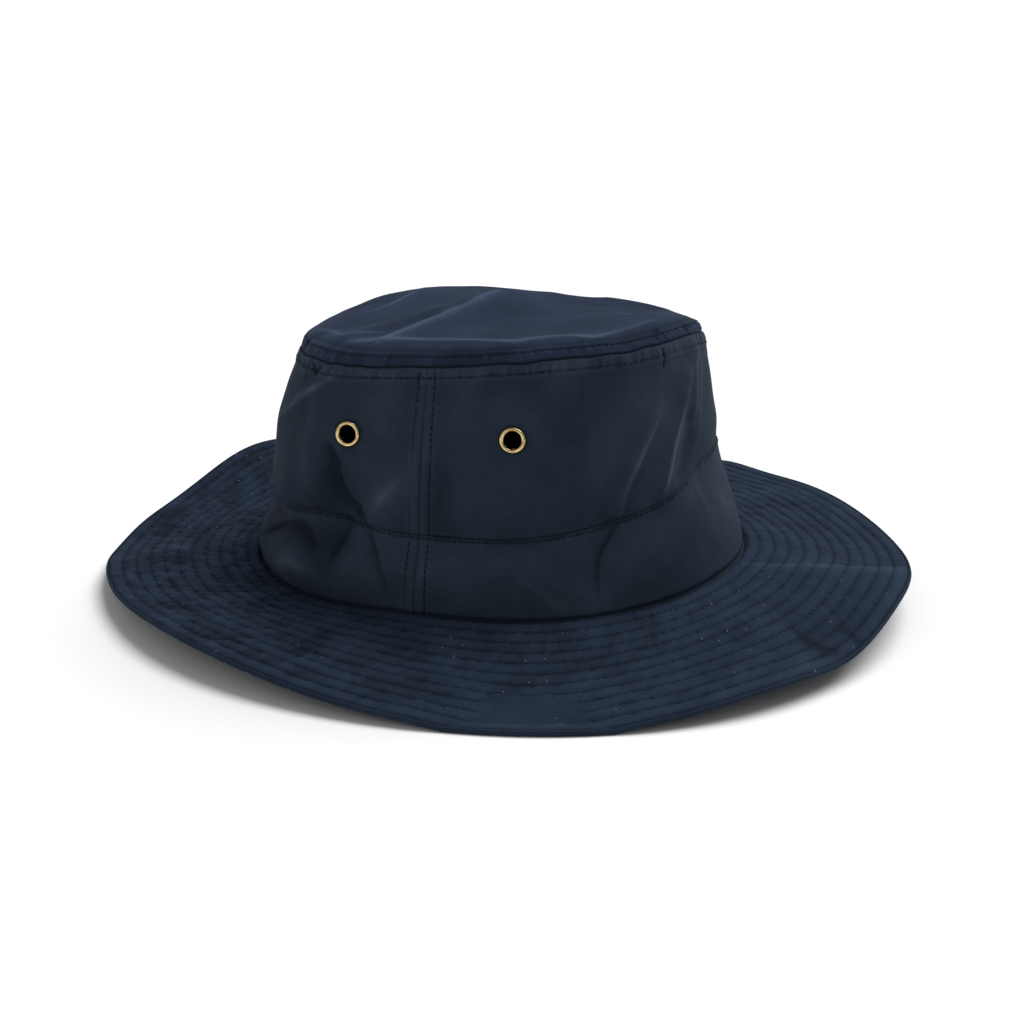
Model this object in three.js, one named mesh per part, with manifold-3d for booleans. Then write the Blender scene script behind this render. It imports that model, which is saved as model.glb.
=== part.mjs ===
// Safari hat of soft navy cloth, lying on a table as it would by itself.
// It has a domed tip, two tall side panels, a lower band in two panels, a wide quilted brim
// whose edge waves up and down, and two brass vent eyelets on each side.
// +X is the front of the hat, -Y its near side and +Z up. Lengths are millimetres, angles degrees.
// The origin is the middle of the hat's bounding box, on the table that the brim rests on.
import * as THREE from 'three';
import { mergeVertices } from 'three/addons/utils/BufferGeometryUtils.js';
import Module from 'manifold-3d';

// Crown sizes
const headLength = 204;
const headWidth = 164;
const crownHeight = 94;
const bandHeight = 31;
const bandEndInset = 8.5;
const bandSideInset = 6.5;
const tipEndInset = 19.5;
const tipSideInset = 16;
const wallBulge = 6;
const bandBulge = 2.5;
const shoulderRise = 7.5;
const domeRise = 2.5;
const crownWall = 1.2;
const sideSeamForward = 3.5;

// Brim sizes
const brimReach = 67;
const brimRise = 20;
const jointRise = 24;
const brimWall = 2.4;
const stitchRows = 10;
const quiltDepth = 0.7;
const hemRound = 1.2;

// Eyelet sizes
const eyeletBore = 3.4;
const eyeletBarrel = 0.5;
const eyeletFlange = 5;
const eyeletRoll = 0.9;
const eyeletLip = 0.2;
const eyeletSpread = 33.5;
const eyeletHeight = 0.575;
const eyeletWasher = 0.6;

// Clearances
const seamGap = 0.3;
const washerGap = 0.7;

// Folds
const foldWidth = 10;
const foldFade = 6;
const foldDepth = 3;
const brimFoldHeight = 3;

// Powers that say how suddenly the tip's shoulder turns down, and how far in its rim's wave reaches
const shoulderPower = 20;
const slopePower = 2;

// Mesh fineness: steps, and rings as shares of the way from the middle to the rim or edge
const halfTurnSteps = 32;
const wallSteps = 7;
const bandSteps = 4;
const eyeletSteps = 16;
const holeSteps = 24;
const tipRings = [1, 0.975, 0.94, 0.86, 0.66, 0.36];
const undersideRings = [0, 0.14, 0.28, 0.42, 0.56, 0.7, 0.82, 0.91];

// Stations round the hat, 30 degrees apart, from the front by the far side to the near side.
// edge: rise of the brim's underside at its edge, as a share of brimRise (below 0 lies on the table).
// reach: width of the brim as a share of brimReach.
// joint: rise of the brim's underside at the crown, as a share of jointRise.
// band and tip: height of the band seam and the tip seam over the joint, as shares of bandHeight
// and crownHeight. bulge and flare: swelling of the side panels and the band, as shares of
// wallBulge and bandBulge.
const stations = [
  { angle: 0, edge: 0.84, reach: 0.99, joint: 0.95, band: 1.38, tip: 0.97, bulge: 0.2, flare: 0.3 },
  { angle: 30, edge: 0.56, reach: 1.0, joint: 0.93, band: 1.35, tip: 0.885, bulge: 0.0, flare: 0.1 },
  { angle: 60, edge: 0.6, reach: 1.01, joint: 0.77, band: 1.15, tip: 0.87, bulge: 0.2, flare: 0.4 },
  { angle: 90, edge: 0.04, reach: 1.0, joint: 0.62, band: 1.0, tip: 0.86, bulge: 0.6, flare: 0.8 },
  { angle: 120, edge: -0.3, reach: 1.0, joint: 0.51, band: 1.0, tip: 0.91, bulge: 0.7, flare: 0.8 },
  { angle: 150, edge: 0.73, reach: 0.97, joint: 0.42, band: 0.9, tip: 0.92, bulge: 0.9, flare: 0.8 },
  { angle: 180, edge: 0.2, reach: 0.93, joint: 0.4, band: 0.75, tip: 0.895, bulge: 0.95, flare: 0.8 },
  { angle: 210, edge: 0.34, reach: 0.95, joint: 0.4, band: 0.72, tip: 0.92, bulge: 0.8, flare: 1.4 },
  { angle: 240, edge: 0.54, reach: 0.97, joint: 0.37, band: 1.05, tip: 0.98, bulge: 0.7, flare: 1.4 },
  { angle: 270, edge: 0.25, reach: 0.99, joint: 0.57, band: 0.97, tip: 1.0, bulge: 0.4, flare: 0.6 },
  { angle: 300, edge: -0.22, reach: 1.0, joint: 0.63, band: 1.0, tip: 1.04, bulge: 0.35, flare: 0.4 },
  { angle: 330, edge: 0.38, reach: 1.0, joint: 0.77, band: 1.16, tip: 1.02, bulge: 0.3, flare: 0.5 },
];

// Folds of the crown's wall, each along a line from one place to another. A place is an angle and
// a share of the crown's height. width is a share of foldWidth, depth of foldDepth (above 0 is a
// ridge, below 0 a valley).
const wallFolds = [
  { angle: 242, height: 0.8, toAngle: 242, toHeight: 0.55, width: 1.2, depth: 1.1 },
  { angle: 256, height: 0.8, toAngle: 256, toHeight: 0.55, width: 1.1, depth: -1.0 },
  { angle: 244, height: 0.62, toAngle: 250, toHeight: 0.34, width: 0.6, depth: -1.0 },
  { angle: 256, height: 0.56, toAngle: 266, toHeight: 0.42, width: 1.0, depth: 0.45 },
  { angle: 244, height: 0.96, toAngle: 210, toHeight: 0.71, width: 0.9, depth: 0.35 },
  { angle: 195, height: 0.42, toAngle: 222, toHeight: 0.42, width: 1.1, depth: 0.6 },
  { angle: 197, height: 0.29, toAngle: 246, toHeight: 0.28, width: 0.6, depth: -1.3 },
  { angle: 214, height: 0.13, toAngle: 242, toHeight: 0.13, width: 1.0, depth: 0.5 },
  { angle: 257, height: 0.33, toAngle: 266, toHeight: 0.09, width: 0.5, depth: -0.5 },
  { angle: 320, height: 0.31, toAngle: 315, toHeight: 0.12, width: 0.5, depth: -0.5 },
  { angle: -6, height: 0.3, toAngle: 62, toHeight: 0.3, width: 1.3, depth: -1.3 },
  { angle: 4, height: 0.56, toAngle: 60, toHeight: 0.56, width: 1.6, depth: -0.6 },
  { angle: 358, height: 0.88, toAngle: 350, toHeight: 0.56, width: 0.6, depth: 0.5 },
  { angle: 350, height: 0.82, toAngle: 336, toHeight: 0.4, width: 0.6, depth: 0.55 },
  { angle: 348, height: 0.6, toAngle: 343, toHeight: 0.4, width: 0.6, depth: -0.5 },
  { angle: 335, height: 0.68, toAngle: 323, toHeight: 0.36, width: 0.6, depth: 0.45 },
  { angle: 30, height: 0.75, toAngle: 42, toHeight: 0.35, width: 0.9, depth: -0.6 },
  { angle: 74, height: 0.62, toAngle: 66, toHeight: 0.3, width: 0.8, depth: -0.5 },
  { angle: 110, height: 0.85, toAngle: 128, toHeight: 0.5, width: 1.0, depth: 0.5 },
  { angle: 140, height: 0.6, toAngle: 150, toHeight: 0.3, width: 0.8, depth: -0.7 },
  { angle: 172, height: 0.85, toAngle: 180, toHeight: 0.5, width: 1.0, depth: -0.5 },
];

// Folds of the tip, along lines in plan. Places are shares of the tip's half length and half width.
const tipFolds = [
  { x: -0.5, y: -0.72, toX: -0.24, toY: -0.2, width: 0.8, depth: 0.5 },
  { x: -0.24, y: -0.2, toX: -0.2, toY: 0.5, width: 0.8, depth: 0.45 },
  { x: 0.1, y: -0.3, toX: 0.2, toY: 0.4, width: 1.6, depth: -0.5 },
  { x: 0.35, y: 0.75, toX: 0.66, toY: 0.6, width: 0.7, depth: 0.4 },
  { x: -0.7, y: 0.1, toX: -0.6, toY: -0.35, width: 1.2, depth: -0.4 },
];

// Soft bumps of the brim, round an angle and a share of its reach. spread is in degrees, length a
// share of the reach, rise a share of brimFoldHeight.
const brimFolds = [
  { angle: 6, reach: 0.35, spread: 7, length: 0.4, rise: 0.9 },
  { angle: 348, reach: 1.0, spread: 11, length: 0.4, rise: -2.0 },
  { angle: 160, reach: 1.0, spread: 10, length: 0.6, rise: 1.2 },
  { angle: 197, reach: 1.0, spread: 10, length: 0.6, rise: -0.9 },
  { angle: 76, reach: 1.0, spread: 8, length: 0.5, rise: 1.6 },
  { angle: 285, reach: 1.0, spread: 8, length: 0.4, rise: 0.6 },
  { angle: 313, reach: 1.0, spread: 7, length: 0.4, rise: 0.6 },
  { angle: 338, reach: 0.3, spread: 10, length: 0.3, rise: 0.3 },
  { angle: 204, reach: 0.6, spread: 9, length: 0.35, rise: 0.7 },
  { angle: 224, reach: 0.55, spread: 8, length: 0.35, rise: -0.6 },
  { angle: 255, reach: 0.7, spread: 12, length: 0.3, rise: 0.5 },
  { angle: 40, reach: 0.5, spread: 9, length: 0.35, rise: -0.5 },
  { angle: 168, reach: 0.6, spread: 9, length: 0.35, rise: -0.5 },
];

// Small mathematics
const radians = (degrees) => degrees * Math.PI / 180;
const mix = (low, high, share) => low + (high - low) * share;

function atAngle(column, angle) {
  const spacing = 360 / stations.length;
  const place = ((angle % 360) + 360) % 360 / spacing;
  const first = Math.floor(place);
  const share = place - first;
  const value = (step) => stations[(first + step + stations.length) % stations.length][column];
  const [before, start, end, after] = [value(-1), value(0), value(1), value(2)];
  const slope = end - before;
  const bend = 2 * before - 5 * start + 4 * end - after;
  const twist = 3 * start - before - 3 * end + after;
  return start + 0.5 * (slope * share + bend * share ** 2 + twist * share ** 3);
}

// The turn from one angle to another, between -180 and 180 degrees
function turnBetween(from, to) {
  return THREE.MathUtils.euclideanModulo(to - from + 180, 360) - 180;
}

function segmentDistance(x, y, fromX, fromY, toX, toY) {
  const runX = toX - fromX;
  const runY = toY - fromY;
  const along = ((x - fromX) * runX + (y - fromY) * runY) / (runX ** 2 + runY ** 2);
  const share = THREE.MathUtils.clamp(along, 0, 1);
  return Math.hypot(x - fromX - runX * share, y - fromY - runY * share);
}

// A point on an oval round the head, moved out along the oval's normal
function oval(endInset, sideInset, angle, out) {
  const halfLength = headLength / 2 - endInset;
  const halfWidth = headWidth / 2 - sideInset;
  const turn = radians(angle);
  const normal = new THREE.Vector2(halfWidth * Math.cos(turn), halfLength * Math.sin(turn));
  normal.setLength(out);
  return new THREE.Vector2(halfLength * Math.cos(turn), halfWidth * Math.sin(turn)).add(normal);
}

// Heights round the hat
const jointTop = (angle) => jointRise * atAngle('joint', angle) + brimWall;
const bandTop = (angle) => jointTop(angle) + bandHeight * atAngle('band', angle);
const wallTop = (angle) => jointTop(angle) + crownHeight * atAngle('tip', angle);

// How far the folds push the crown's wall out at an angle and a share of its height
function foldOut(angle, height) {
  const perDegree = Math.PI * (headLength + headWidth) / 2 / 360;
  let out = 0;
  for (const fold of wallFolds) {
    const turns = Math.round(((fold.angle + fold.toAngle) / 2 - angle) / 360);
    const distance = segmentDistance(
      (angle + 360 * turns) * perDegree, height * crownHeight,
      fold.angle * perDegree, fold.height * crownHeight,
      fold.toAngle * perDegree, fold.toHeight * crownHeight);
    out += fold.depth * foldDepth * Math.exp(-((distance / (fold.width * foldWidth)) ** 2));
  }
  return out;
}

// The crown's outer skin: the band from the brim's underside up, then the side panels
function bandPoint(angle, share, out) {
  const bandShare = bandHeight / crownHeight;
  const swell = bandBulge * atAngle('flare', angle) * Math.sin(Math.PI * share) ** 2;
  const folds = foldOut(angle, bandShare * share);
  const plan = oval(bandEndInset * share, bandSideInset * share, angle, swell + folds + out);
  const height = mix(jointTop(angle) - brimWall, bandTop(angle), share);
  return new THREE.Vector3(plan.x, plan.y, height);
}

function wallPoint(angle, share, out) {
  const bandShare = bandHeight / crownHeight;
  const swell = wallBulge * atAngle('bulge', angle) * Math.sin(Math.PI * share);
  const folds = foldOut(angle, mix(bandShare, 1, share));
  const endInset = mix(bandEndInset, tipEndInset, share);
  const sideInset = mix(bandSideInset, tipSideInset, share);
  const plan = oval(endInset, sideInset, angle, swell + folds + out);
  return new THREE.Vector3(plan.x, plan.y, mix(bandTop(angle), wallTop(angle), share));
}

// The tip, from its rim at share 1 to its middle at share 0
function tipPoint(angle, share, down) {
  const rim = wallPoint(angle, 1, -down);
  const plan = new THREE.Vector2(rim.x, rim.y).multiplyScalar(share);
  const halfLength = headLength / 2 - tipEndInset;
  const halfWidth = headWidth / 2 - tipSideInset;
  const shoulder = shoulderRise * (1 - share ** shoulderPower);
  const dome = domeRise * (1 - share ** 2);
  let folds = 0;
  for (const fold of tipFolds) {
    const distance = segmentDistance(plan.x, plan.y,
      fold.x * halfLength, fold.y * halfWidth, fold.toX * halfLength, fold.toY * halfWidth);
    folds += fold.depth * foldDepth * Math.exp(-((distance / (fold.width * foldWidth)) ** 2));
  }
  const slope = mix(meanWallTop, wallTop(angle), share ** slopePower);
  const skin = share < 1 ? folds * (1 - share ** foldFade) - down : 0;
  return new THREE.Vector3(plan.x, plan.y, slope + shoulder + dome + skin + seamGap);
}

// The brim's underside, from the crown at share 0 to the edge at share 1, never under the table
function brimPoint(angle, share, up) {
  const reach = brimReach * atAngle('reach', angle) * share;
  const start = jointTop(angle) - brimWall;
  let height = mix(start, brimRise * atAngle('edge', angle), share);
  for (const fold of brimFolds) {
    const turn = turnBetween(angle, fold.angle) / fold.spread;
    const run = (share - fold.reach) / fold.length;
    const growth = Math.sin(Math.PI * share / 2);
    height += fold.rise * brimFoldHeight * growth * Math.exp(-(turn ** 2) - run ** 2);
  }
  const plan = oval(0, 0, angle, foldOut(angle, 0) * (1 - share) + seamGap + reach);
  return new THREE.Vector3(plan.x, plan.y, Math.max(height, 0) + up);
}

// Angles of the shared mesh: the side seams fall on two of them
const sideSeamAngle = THREE.MathUtils.radToDeg(Math.acos(sideSeamForward / (headLength / 2)));
const frontAngles = [];
const backAngles = [];
for (let step = 0; step <= halfTurnSteps; step += 1) {
  frontAngles.push(mix(-sideSeamAngle, sideSeamAngle, step / halfTurnSteps));
  backAngles.push(mix(sideSeamAngle, 360 - sideSeamAngle, step / halfTurnSteps));
}
const allAngles = [...frontAngles.slice(0, -1), ...backAngles.slice(0, -1)];
const meanWallTop = allAngles.reduce((sum, angle) => sum + wallTop(angle), 0) / allAngles.length;

function geometryOf(points, faces) {
  const geometry = new THREE.BufferGeometry();
  const numbers = points.flatMap((point) => [point.x, point.y, point.z]);
  geometry.setAttribute('position', new THREE.Float32BufferAttribute(numbers, 3));
  geometry.setIndex(faces);
  geometry.computeVertexNormals();
  return geometry;
}

// A skin swept round the hat: at each angle a closed loop of points. An open sweep is capped by
// joining the first half of a loop to its second half, point by point.
function sweep(angles, loopAt, closed) {
  const loops = angles.map(loopAt);
  const count = loops[0].length;
  const points = loops.flat();
  const faces = [];
  const spans = closed ? loops.length : loops.length - 1;
  for (let span = 0; span < spans; span += 1) {
    const here = span * count;
    const next = ((span + 1) % loops.length) * count;
    for (let side = 0; side < count; side += 1) {
      const after = (side + 1) % count;
      faces.push(here + side, next + side, next + after, here + side, next + after, here + after);
    }
  }
  if (!closed) {
    const last = (loops.length - 1) * count;
    for (let side = 0; side < count / 2 - 1; side += 1) {
      const back = count - 1 - side;
      faces.push(side, side + 1, back - 1, side, back - 1, back);
      const [front, rear] = [last + side, last + back];
      faces.push(front, rear - 1, front + 1, front, rear, rear - 1);
    }
  }
  return geometryOf(points, faces);
}

// A panel of the crown between two side seams, standing clear of its neighbour at each seam
function panel(angles, steps, pointAt, topShare) {
  const trim = THREE.MathUtils.radToDeg(seamGap / headWidth);
  const trimmed = [...angles];
  trimmed[0] += trim;
  trimmed[trimmed.length - 1] -= trim;
  return sweep(trimmed, (angle) => {
    const outer = [];
    for (let step = 0; step <= steps; step += 1) {
      outer.push(pointAt(angle, topShare(angle) * step / steps, 0));
    }
    const inner = [];
    for (let step = steps; step >= 0; step -= 1) {
      inner.push(pointAt(angle, topShare(angle) * step / steps, -crownWall));
    }
    return [...outer, ...inner];
  }, false);
}

const fullHeight = () => 1;
const belowBandSeam = (angle) => 1 - seamGap / (bandTop(angle) - jointTop(angle) + brimWall);

// The domed tip: rings of points on its outer and inner skin, each closed by a middle point
function tipGeometry() {
  const points = [];
  const faces = [];
  const turn = allAngles.length;
  for (const down of [0, crownWall]) {
    for (const share of tipRings) {
      points.push(...allAngles.map((angle) => tipPoint(angle, share, down)));
    }
    points.push(tipPoint(0, 0, down));
  }
  const skin = tipRings.length * turn + 1;
  for (let step = 0; step < turn; step += 1) {
    const next = (step + 1) % turn;
    for (let ring = 0; ring < tipRings.length - 1; ring += 1) {
      const [a, b] = [ring * turn + step, ring * turn + next];
      faces.push(a, b, b + turn, a, b + turn, a + turn);
      faces.push(skin + a, skin + b + turn, skin + b, skin + a, skin + a + turn, skin + b + turn);
    }
    const lastRing = (tipRings.length - 1) * turn;
    faces.push(lastRing + step, lastRing + next, skin - 1);
    faces.push(skin + lastRing + next, skin + lastRing + step, 2 * skin - 1);
    faces.push(next, step, skin + step, next, skin + step, skin + next);
  }
  return geometryOf(points, faces);
}

// The quilted brim: its top dips at each row of stitches and stands proud between the rows
function brimGeometry() {
  const halfChannels = 2 * (stitchRows + 1);
  return sweep(allAngles, (angle) => {
    const hem = hemRound / brimReach;
    const underside = undersideRings.map((share) => brimPoint(angle, share, 0));
    const edge = [
      brimPoint(angle, 1 - hem, 0),
      brimPoint(angle, 1, brimWall * 0.3),
      brimPoint(angle, 1, brimWall * 0.75),
    ];
    const top = [];
    for (let half = halfChannels; half >= 0; half -= 1) {
      const atRow = half % 2 === 0 && half > 0 && half < halfChannels;
      const dip = atRow ? -quiltDepth : 0;
      top.push(brimPoint(angle, (1 - hem) * half / halfChannels, brimWall + dip));
    }
    return [...underside, ...edge, ...top];
  }, true);
}

// Places of the eyelets, each with the wall's point and outward normal there, which is measured
// across a few degrees and a small share of the panel's height
function eyeletPlaces() {
  const sideways = 3;
  const upwards = 0.08;
  const halfLength = headLength / 2 - mix(bandEndInset, tipEndInset, eyeletHeight);
  const places = [];
  for (const [side, turn] of [['near', -1], ['far', 1]]) {
    for (const [end, forward] of [['front', 1], ['back', -1]]) {
      const along = sideSeamForward + forward * eyeletSpread;
      const angle = turn * THREE.MathUtils.radToDeg(Math.acos(along / halfLength));
      const point = wallPoint(angle, eyeletHeight, 0);
      const round = wallPoint(angle + sideways, eyeletHeight, 0);
      round.sub(wallPoint(angle - sideways, eyeletHeight, 0));
      const rise = wallPoint(angle, eyeletHeight + upwards, 0);
      rise.sub(wallPoint(angle, eyeletHeight - upwards, 0));
      const normal = round.cross(rise).normalize();
      places.push({ name: `eyelet_${side}_${end}`, end, point, normal });
    }
  }
  return places;
}

function turnTo(normal) {
  return new THREE.Quaternion().setFromUnitVectors(new THREE.Vector3(0, 1, 0), normal);
}

// A vent eyelet: a flange rolled over the cloth, a barrel through it and a washer behind it
function eyeletGeometry() {
  const barrel = eyeletBore + eyeletBarrel;
  const washerTop = -crownWall - washerGap;
  const outline = [
    [eyeletBore, washerTop - eyeletWasher],
    [eyeletFlange, washerTop - eyeletWasher],
    [eyeletFlange, washerTop],
    [barrel, washerTop],
    [barrel, seamGap],
    [eyeletFlange - eyeletLip, seamGap],
    [eyeletFlange, seamGap + eyeletRoll * 0.4],
    [mix(eyeletBore, eyeletFlange, 0.72), seamGap + eyeletRoll],
    [mix(eyeletBore, eyeletFlange, 0.3), seamGap + eyeletRoll],
    [eyeletBore, seamGap + eyeletRoll * 0.45],
    [eyeletBore, washerTop - eyeletWasher],
  ];
  const profile = outline.map(([radius, height]) => new THREE.Vector2(radius, height));
  return new THREE.LatheGeometry(profile, eyeletSteps);
}

// Boolean cuts
const wasm = await Module();
wasm.setup();

function solidOf(geometry) {
  const bare = geometry.clone();
  bare.deleteAttribute('normal');
  bare.deleteAttribute('uv');
  const merged = mergeVertices(bare, 0.0001);
  return new wasm.Manifold(new wasm.Mesh({
    numProp: 3,
    vertProperties: new Float32Array(merged.attributes.position.array),
    triVerts: new Uint32Array(merged.index.array),
  }));
}

function cutHoles(geometry, places) {
  let solid = solidOf(geometry);
  const radius = eyeletBore + eyeletBarrel + seamGap;
  const length = 8 * crownWall;
  for (const place of places) {
    const hole = new THREE.CylinderGeometry(radius, radius, length, holeSteps);
    hole.applyQuaternion(turnTo(place.normal));
    hole.translate(place.point.x, place.point.y, place.point.z);
    solid = solid.subtract(solidOf(hole));
  }
  const mesh = solid.getMesh();
  const cut = new THREE.BufferGeometry();
  cut.setAttribute('position', new THREE.BufferAttribute(new Float32Array(mesh.vertProperties), 3));
  cut.setIndex(new THREE.BufferAttribute(new Uint32Array(mesh.triVerts), 1));
  cut.computeVertexNormals();
  return cut;
}

// Materials
const cloth = (color) => new THREE.MeshStandardMaterial({ color, roughness: 0.8, metalness: 0 });
const brass = new THREE.MeshStandardMaterial({ color: 0xb08a4e, roughness: 0.35, metalness: 1 });

// Assembly
const hat = new THREE.Group();

function addPiece(name, geometry, material) {
  const mesh = new THREE.Mesh(geometry, material);
  mesh.name = name;
  hat.add(mesh);
  return mesh;
}

const places = eyeletPlaces();
for (const [end, angles] of [['front', frontAngles], ['back', backAngles]]) {
  const upper = panel(angles, wallSteps, wallPoint, fullHeight);
  const itsEyelets = places.filter((place) => place.end === end);
  addPiece(`crown_upper_${end}`, cutHoles(upper, itsEyelets), cloth(0x212933));
  addPiece(`crown_band_${end}`, panel(angles, bandSteps, bandPoint, belowBandSeam), cloth(0x202832));
}
addPiece('crown_tip', tipGeometry(), cloth(0x323b4c));
addPiece('brim', brimGeometry(), cloth(0x252e3a));
for (const place of places) {
  const eyelet = addPiece(place.name, eyeletGeometry(), brass);
  eyelet.position.copy(place.point);
  eyelet.quaternion.copy(turnTo(place.normal));
}

// Stand the hat on the table with its box centred on the origin
const box = new THREE.Box3().setFromObject(hat, true);
const middle = box.getCenter(new THREE.Vector3());
hat.position.set(-middle.x, -middle.y, -box.min.z);

export default hat;
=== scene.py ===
import math
from typing import Callable, NamedTuple

import bpy
import numpy as np
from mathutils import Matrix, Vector


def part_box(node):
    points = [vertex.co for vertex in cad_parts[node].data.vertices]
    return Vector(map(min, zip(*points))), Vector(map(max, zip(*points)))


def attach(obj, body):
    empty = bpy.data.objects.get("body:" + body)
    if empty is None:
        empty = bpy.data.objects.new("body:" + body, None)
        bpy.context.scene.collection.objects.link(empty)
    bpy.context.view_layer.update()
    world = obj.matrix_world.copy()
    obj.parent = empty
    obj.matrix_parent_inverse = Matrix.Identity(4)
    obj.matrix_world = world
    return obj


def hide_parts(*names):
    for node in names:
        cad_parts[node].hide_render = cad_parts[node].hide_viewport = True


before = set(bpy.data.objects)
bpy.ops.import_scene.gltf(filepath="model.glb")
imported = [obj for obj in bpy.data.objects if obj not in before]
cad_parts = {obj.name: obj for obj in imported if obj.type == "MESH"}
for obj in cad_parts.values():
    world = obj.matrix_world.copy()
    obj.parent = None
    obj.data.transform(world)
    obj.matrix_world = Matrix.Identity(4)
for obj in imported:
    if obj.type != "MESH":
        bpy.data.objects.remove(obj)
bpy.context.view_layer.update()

# Crown sizes
HEAD_LENGTH = 204
HEAD_WIDTH = 164
CROWN_HEIGHT = 94
BAND_HEIGHT = 31
BAND_END_INSET = 8.5
BAND_SIDE_INSET = 6.5
TIP_END_INSET = 19.5
TIP_SIDE_INSET = 16
WALL_BULGE = 6
BAND_BULGE = 2.5
SHOULDER_RISE = 7.5
SHOULDER_POWER = 20
SLOPE_POWER = 2
DOME_RISE = 2.5
CROWN_WALL = 1.2
SIDE_SEAM_FORWARD = 3.5
SEAM_GAP = 0.3

# Brim sizes
BRIM_REACH = 67
BRIM_RISE = 20
JOINT_RISE = 24
BRIM_WALL = 2.4
STITCH_ROWS = 10
HEM = 1.2

# Eyelet sizes
EYELET_BORE = 3.4
EYELET_BARREL = 0.5
EYELET_FLANGE = 5
EYELET_ROLL = 0.9
EYELET_SPREAD = 33.5
EYELET_HEIGHT = 0.575
EYELET_WASHER = 0.6
WASHER_GAP = 0.7

# Folds of the part
FOLD_WIDTH = 10
FOLD_DEPTH = 3
FOLD_FADE = 6
BRIM_FOLD_HEIGHT = 3

# Stations round the hat, 30 degrees apart, with the columns of the part. pucker is how strongly
# the brim's rows of stitches gather the cloth there.
STATION_COLUMNS = ("edge", "reach", "joint", "band", "tip", "bulge", "flare", "pucker")
STATIONS = np.array([
    (0.84, 0.99, 0.95, 1.38, 0.97, 0.20, 0.3, 0.5),
    (0.56, 1.00, 0.93, 1.35, 0.885, 0.00, 0.1, 0.6),
    (0.60, 1.01, 0.77, 1.15, 0.87, 0.20, 0.4, 0.8),
    (0.04, 1.00, 0.62, 1.00, 0.86, 0.60, 0.8, 0.8),
    (-0.3, 1.00, 0.51, 1.00, 0.91, 0.70, 0.8, 0.8),
    (0.73, 0.97, 0.42, 0.90, 0.92, 0.90, 0.8, 0.9),
    (0.20, 0.93, 0.40, 0.75, 0.895, 0.95, 0.8, 1.3),
    (0.34, 0.95, 0.40, 0.72, 0.92, 0.80, 1.4, 1.7),
    (0.54, 0.97, 0.37, 1.05, 0.98, 0.70, 1.4, 1.6),
    (0.25, 0.99, 0.57, 0.97, 1.00, 0.40, 0.6, 1.15),
    (-0.22, 1.00, 0.63, 1.00, 1.04, 0.35, 0.4, 0.95),
    (0.38, 1.00, 0.77, 1.16, 1.02, 0.30, 0.5, 0.7),
])

# Folds of the crown's wall: angle and share of the crown's height at each end, width as a share of
# FOLD_WIDTH, depth of FOLD_DEPTH
WALL_FOLDS = (
    (242, 0.8, 242, 0.55, 1.2, 1.1),
    (256, 0.8, 256, 0.55, 1.1, -1.0),
    (244, 0.62, 250, 0.34, 0.6, -1.0),
    (256, 0.56, 266, 0.42, 1.0, 0.45),
    (244, 0.96, 210, 0.71, 0.9, 0.35),
    (195, 0.42, 222, 0.42, 1.1, 0.6),
    (197, 0.29, 246, 0.28, 0.6, -1.3),
    (214, 0.13, 242, 0.13, 1.0, 0.5),
    (257, 0.33, 266, 0.09, 0.5, -0.5),
    (320, 0.31, 315, 0.12, 0.5, -0.5),
    (-6, 0.3, 62, 0.3, 1.3, -1.3),
    (4, 0.56, 60, 0.56, 1.6, -0.6),
    (358, 0.88, 350, 0.56, 0.6, 0.5),
    (350, 0.82, 336, 0.4, 0.6, 0.55),
    (348, 0.6, 343, 0.4, 0.6, -0.5),
    (335, 0.68, 323, 0.36, 0.6, 0.45),
    (30, 0.75, 42, 0.35, 0.9, -0.6),
    (74, 0.62, 66, 0.3, 0.8, -0.5),
    (110, 0.85, 128, 0.5, 1.0, 0.5),
    (140, 0.6, 150, 0.3, 0.8, -0.7),
    (172, 0.85, 180, 0.5, 1.0, -0.5),
)

# Folds of the tip in plan, in shares of its half length and half width, then width and depth
TIP_FOLDS = (
    (-0.5, -0.72, -0.24, -0.2, 0.8, 0.5),
    (-0.24, -0.2, -0.2, 0.5, 0.8, 0.45),
    (0.1, -0.3, 0.2, 0.4, 1.6, -0.5),
    (0.35, 0.75, 0.66, 0.6, 0.7, 0.4),
    (-0.7, 0.1, -0.6, -0.35, 1.2, -0.4),
)

# Soft bumps of the brim: angle, share of its reach, spread in degrees, length as a share of the
# reach and rise as a share of BRIM_FOLD_HEIGHT
BRIM_FOLDS = (
    (6, 0.35, 7, 0.4, 0.9),
    (348, 1.0, 11, 0.4, -2.0),
    (160, 1.0, 10, 0.6, 1.2),
    (197, 1.0, 10, 0.6, -0.9),
    (76, 1.0, 8, 0.5, 1.6),
    (285, 1.0, 8, 0.4, 0.6),
    (313, 1.0, 7, 0.4, 0.6),
    (338, 0.3, 10, 0.3, 0.3),
    (204, 0.6, 9, 0.35, 0.7),
    (224, 0.55, 8, 0.35, -0.6),
    (255, 0.7, 12, 0.3, 0.5),
    (40, 0.5, 9, 0.35, -0.5),
    (168, 0.6, 9, 0.35, -0.5),
)

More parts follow.
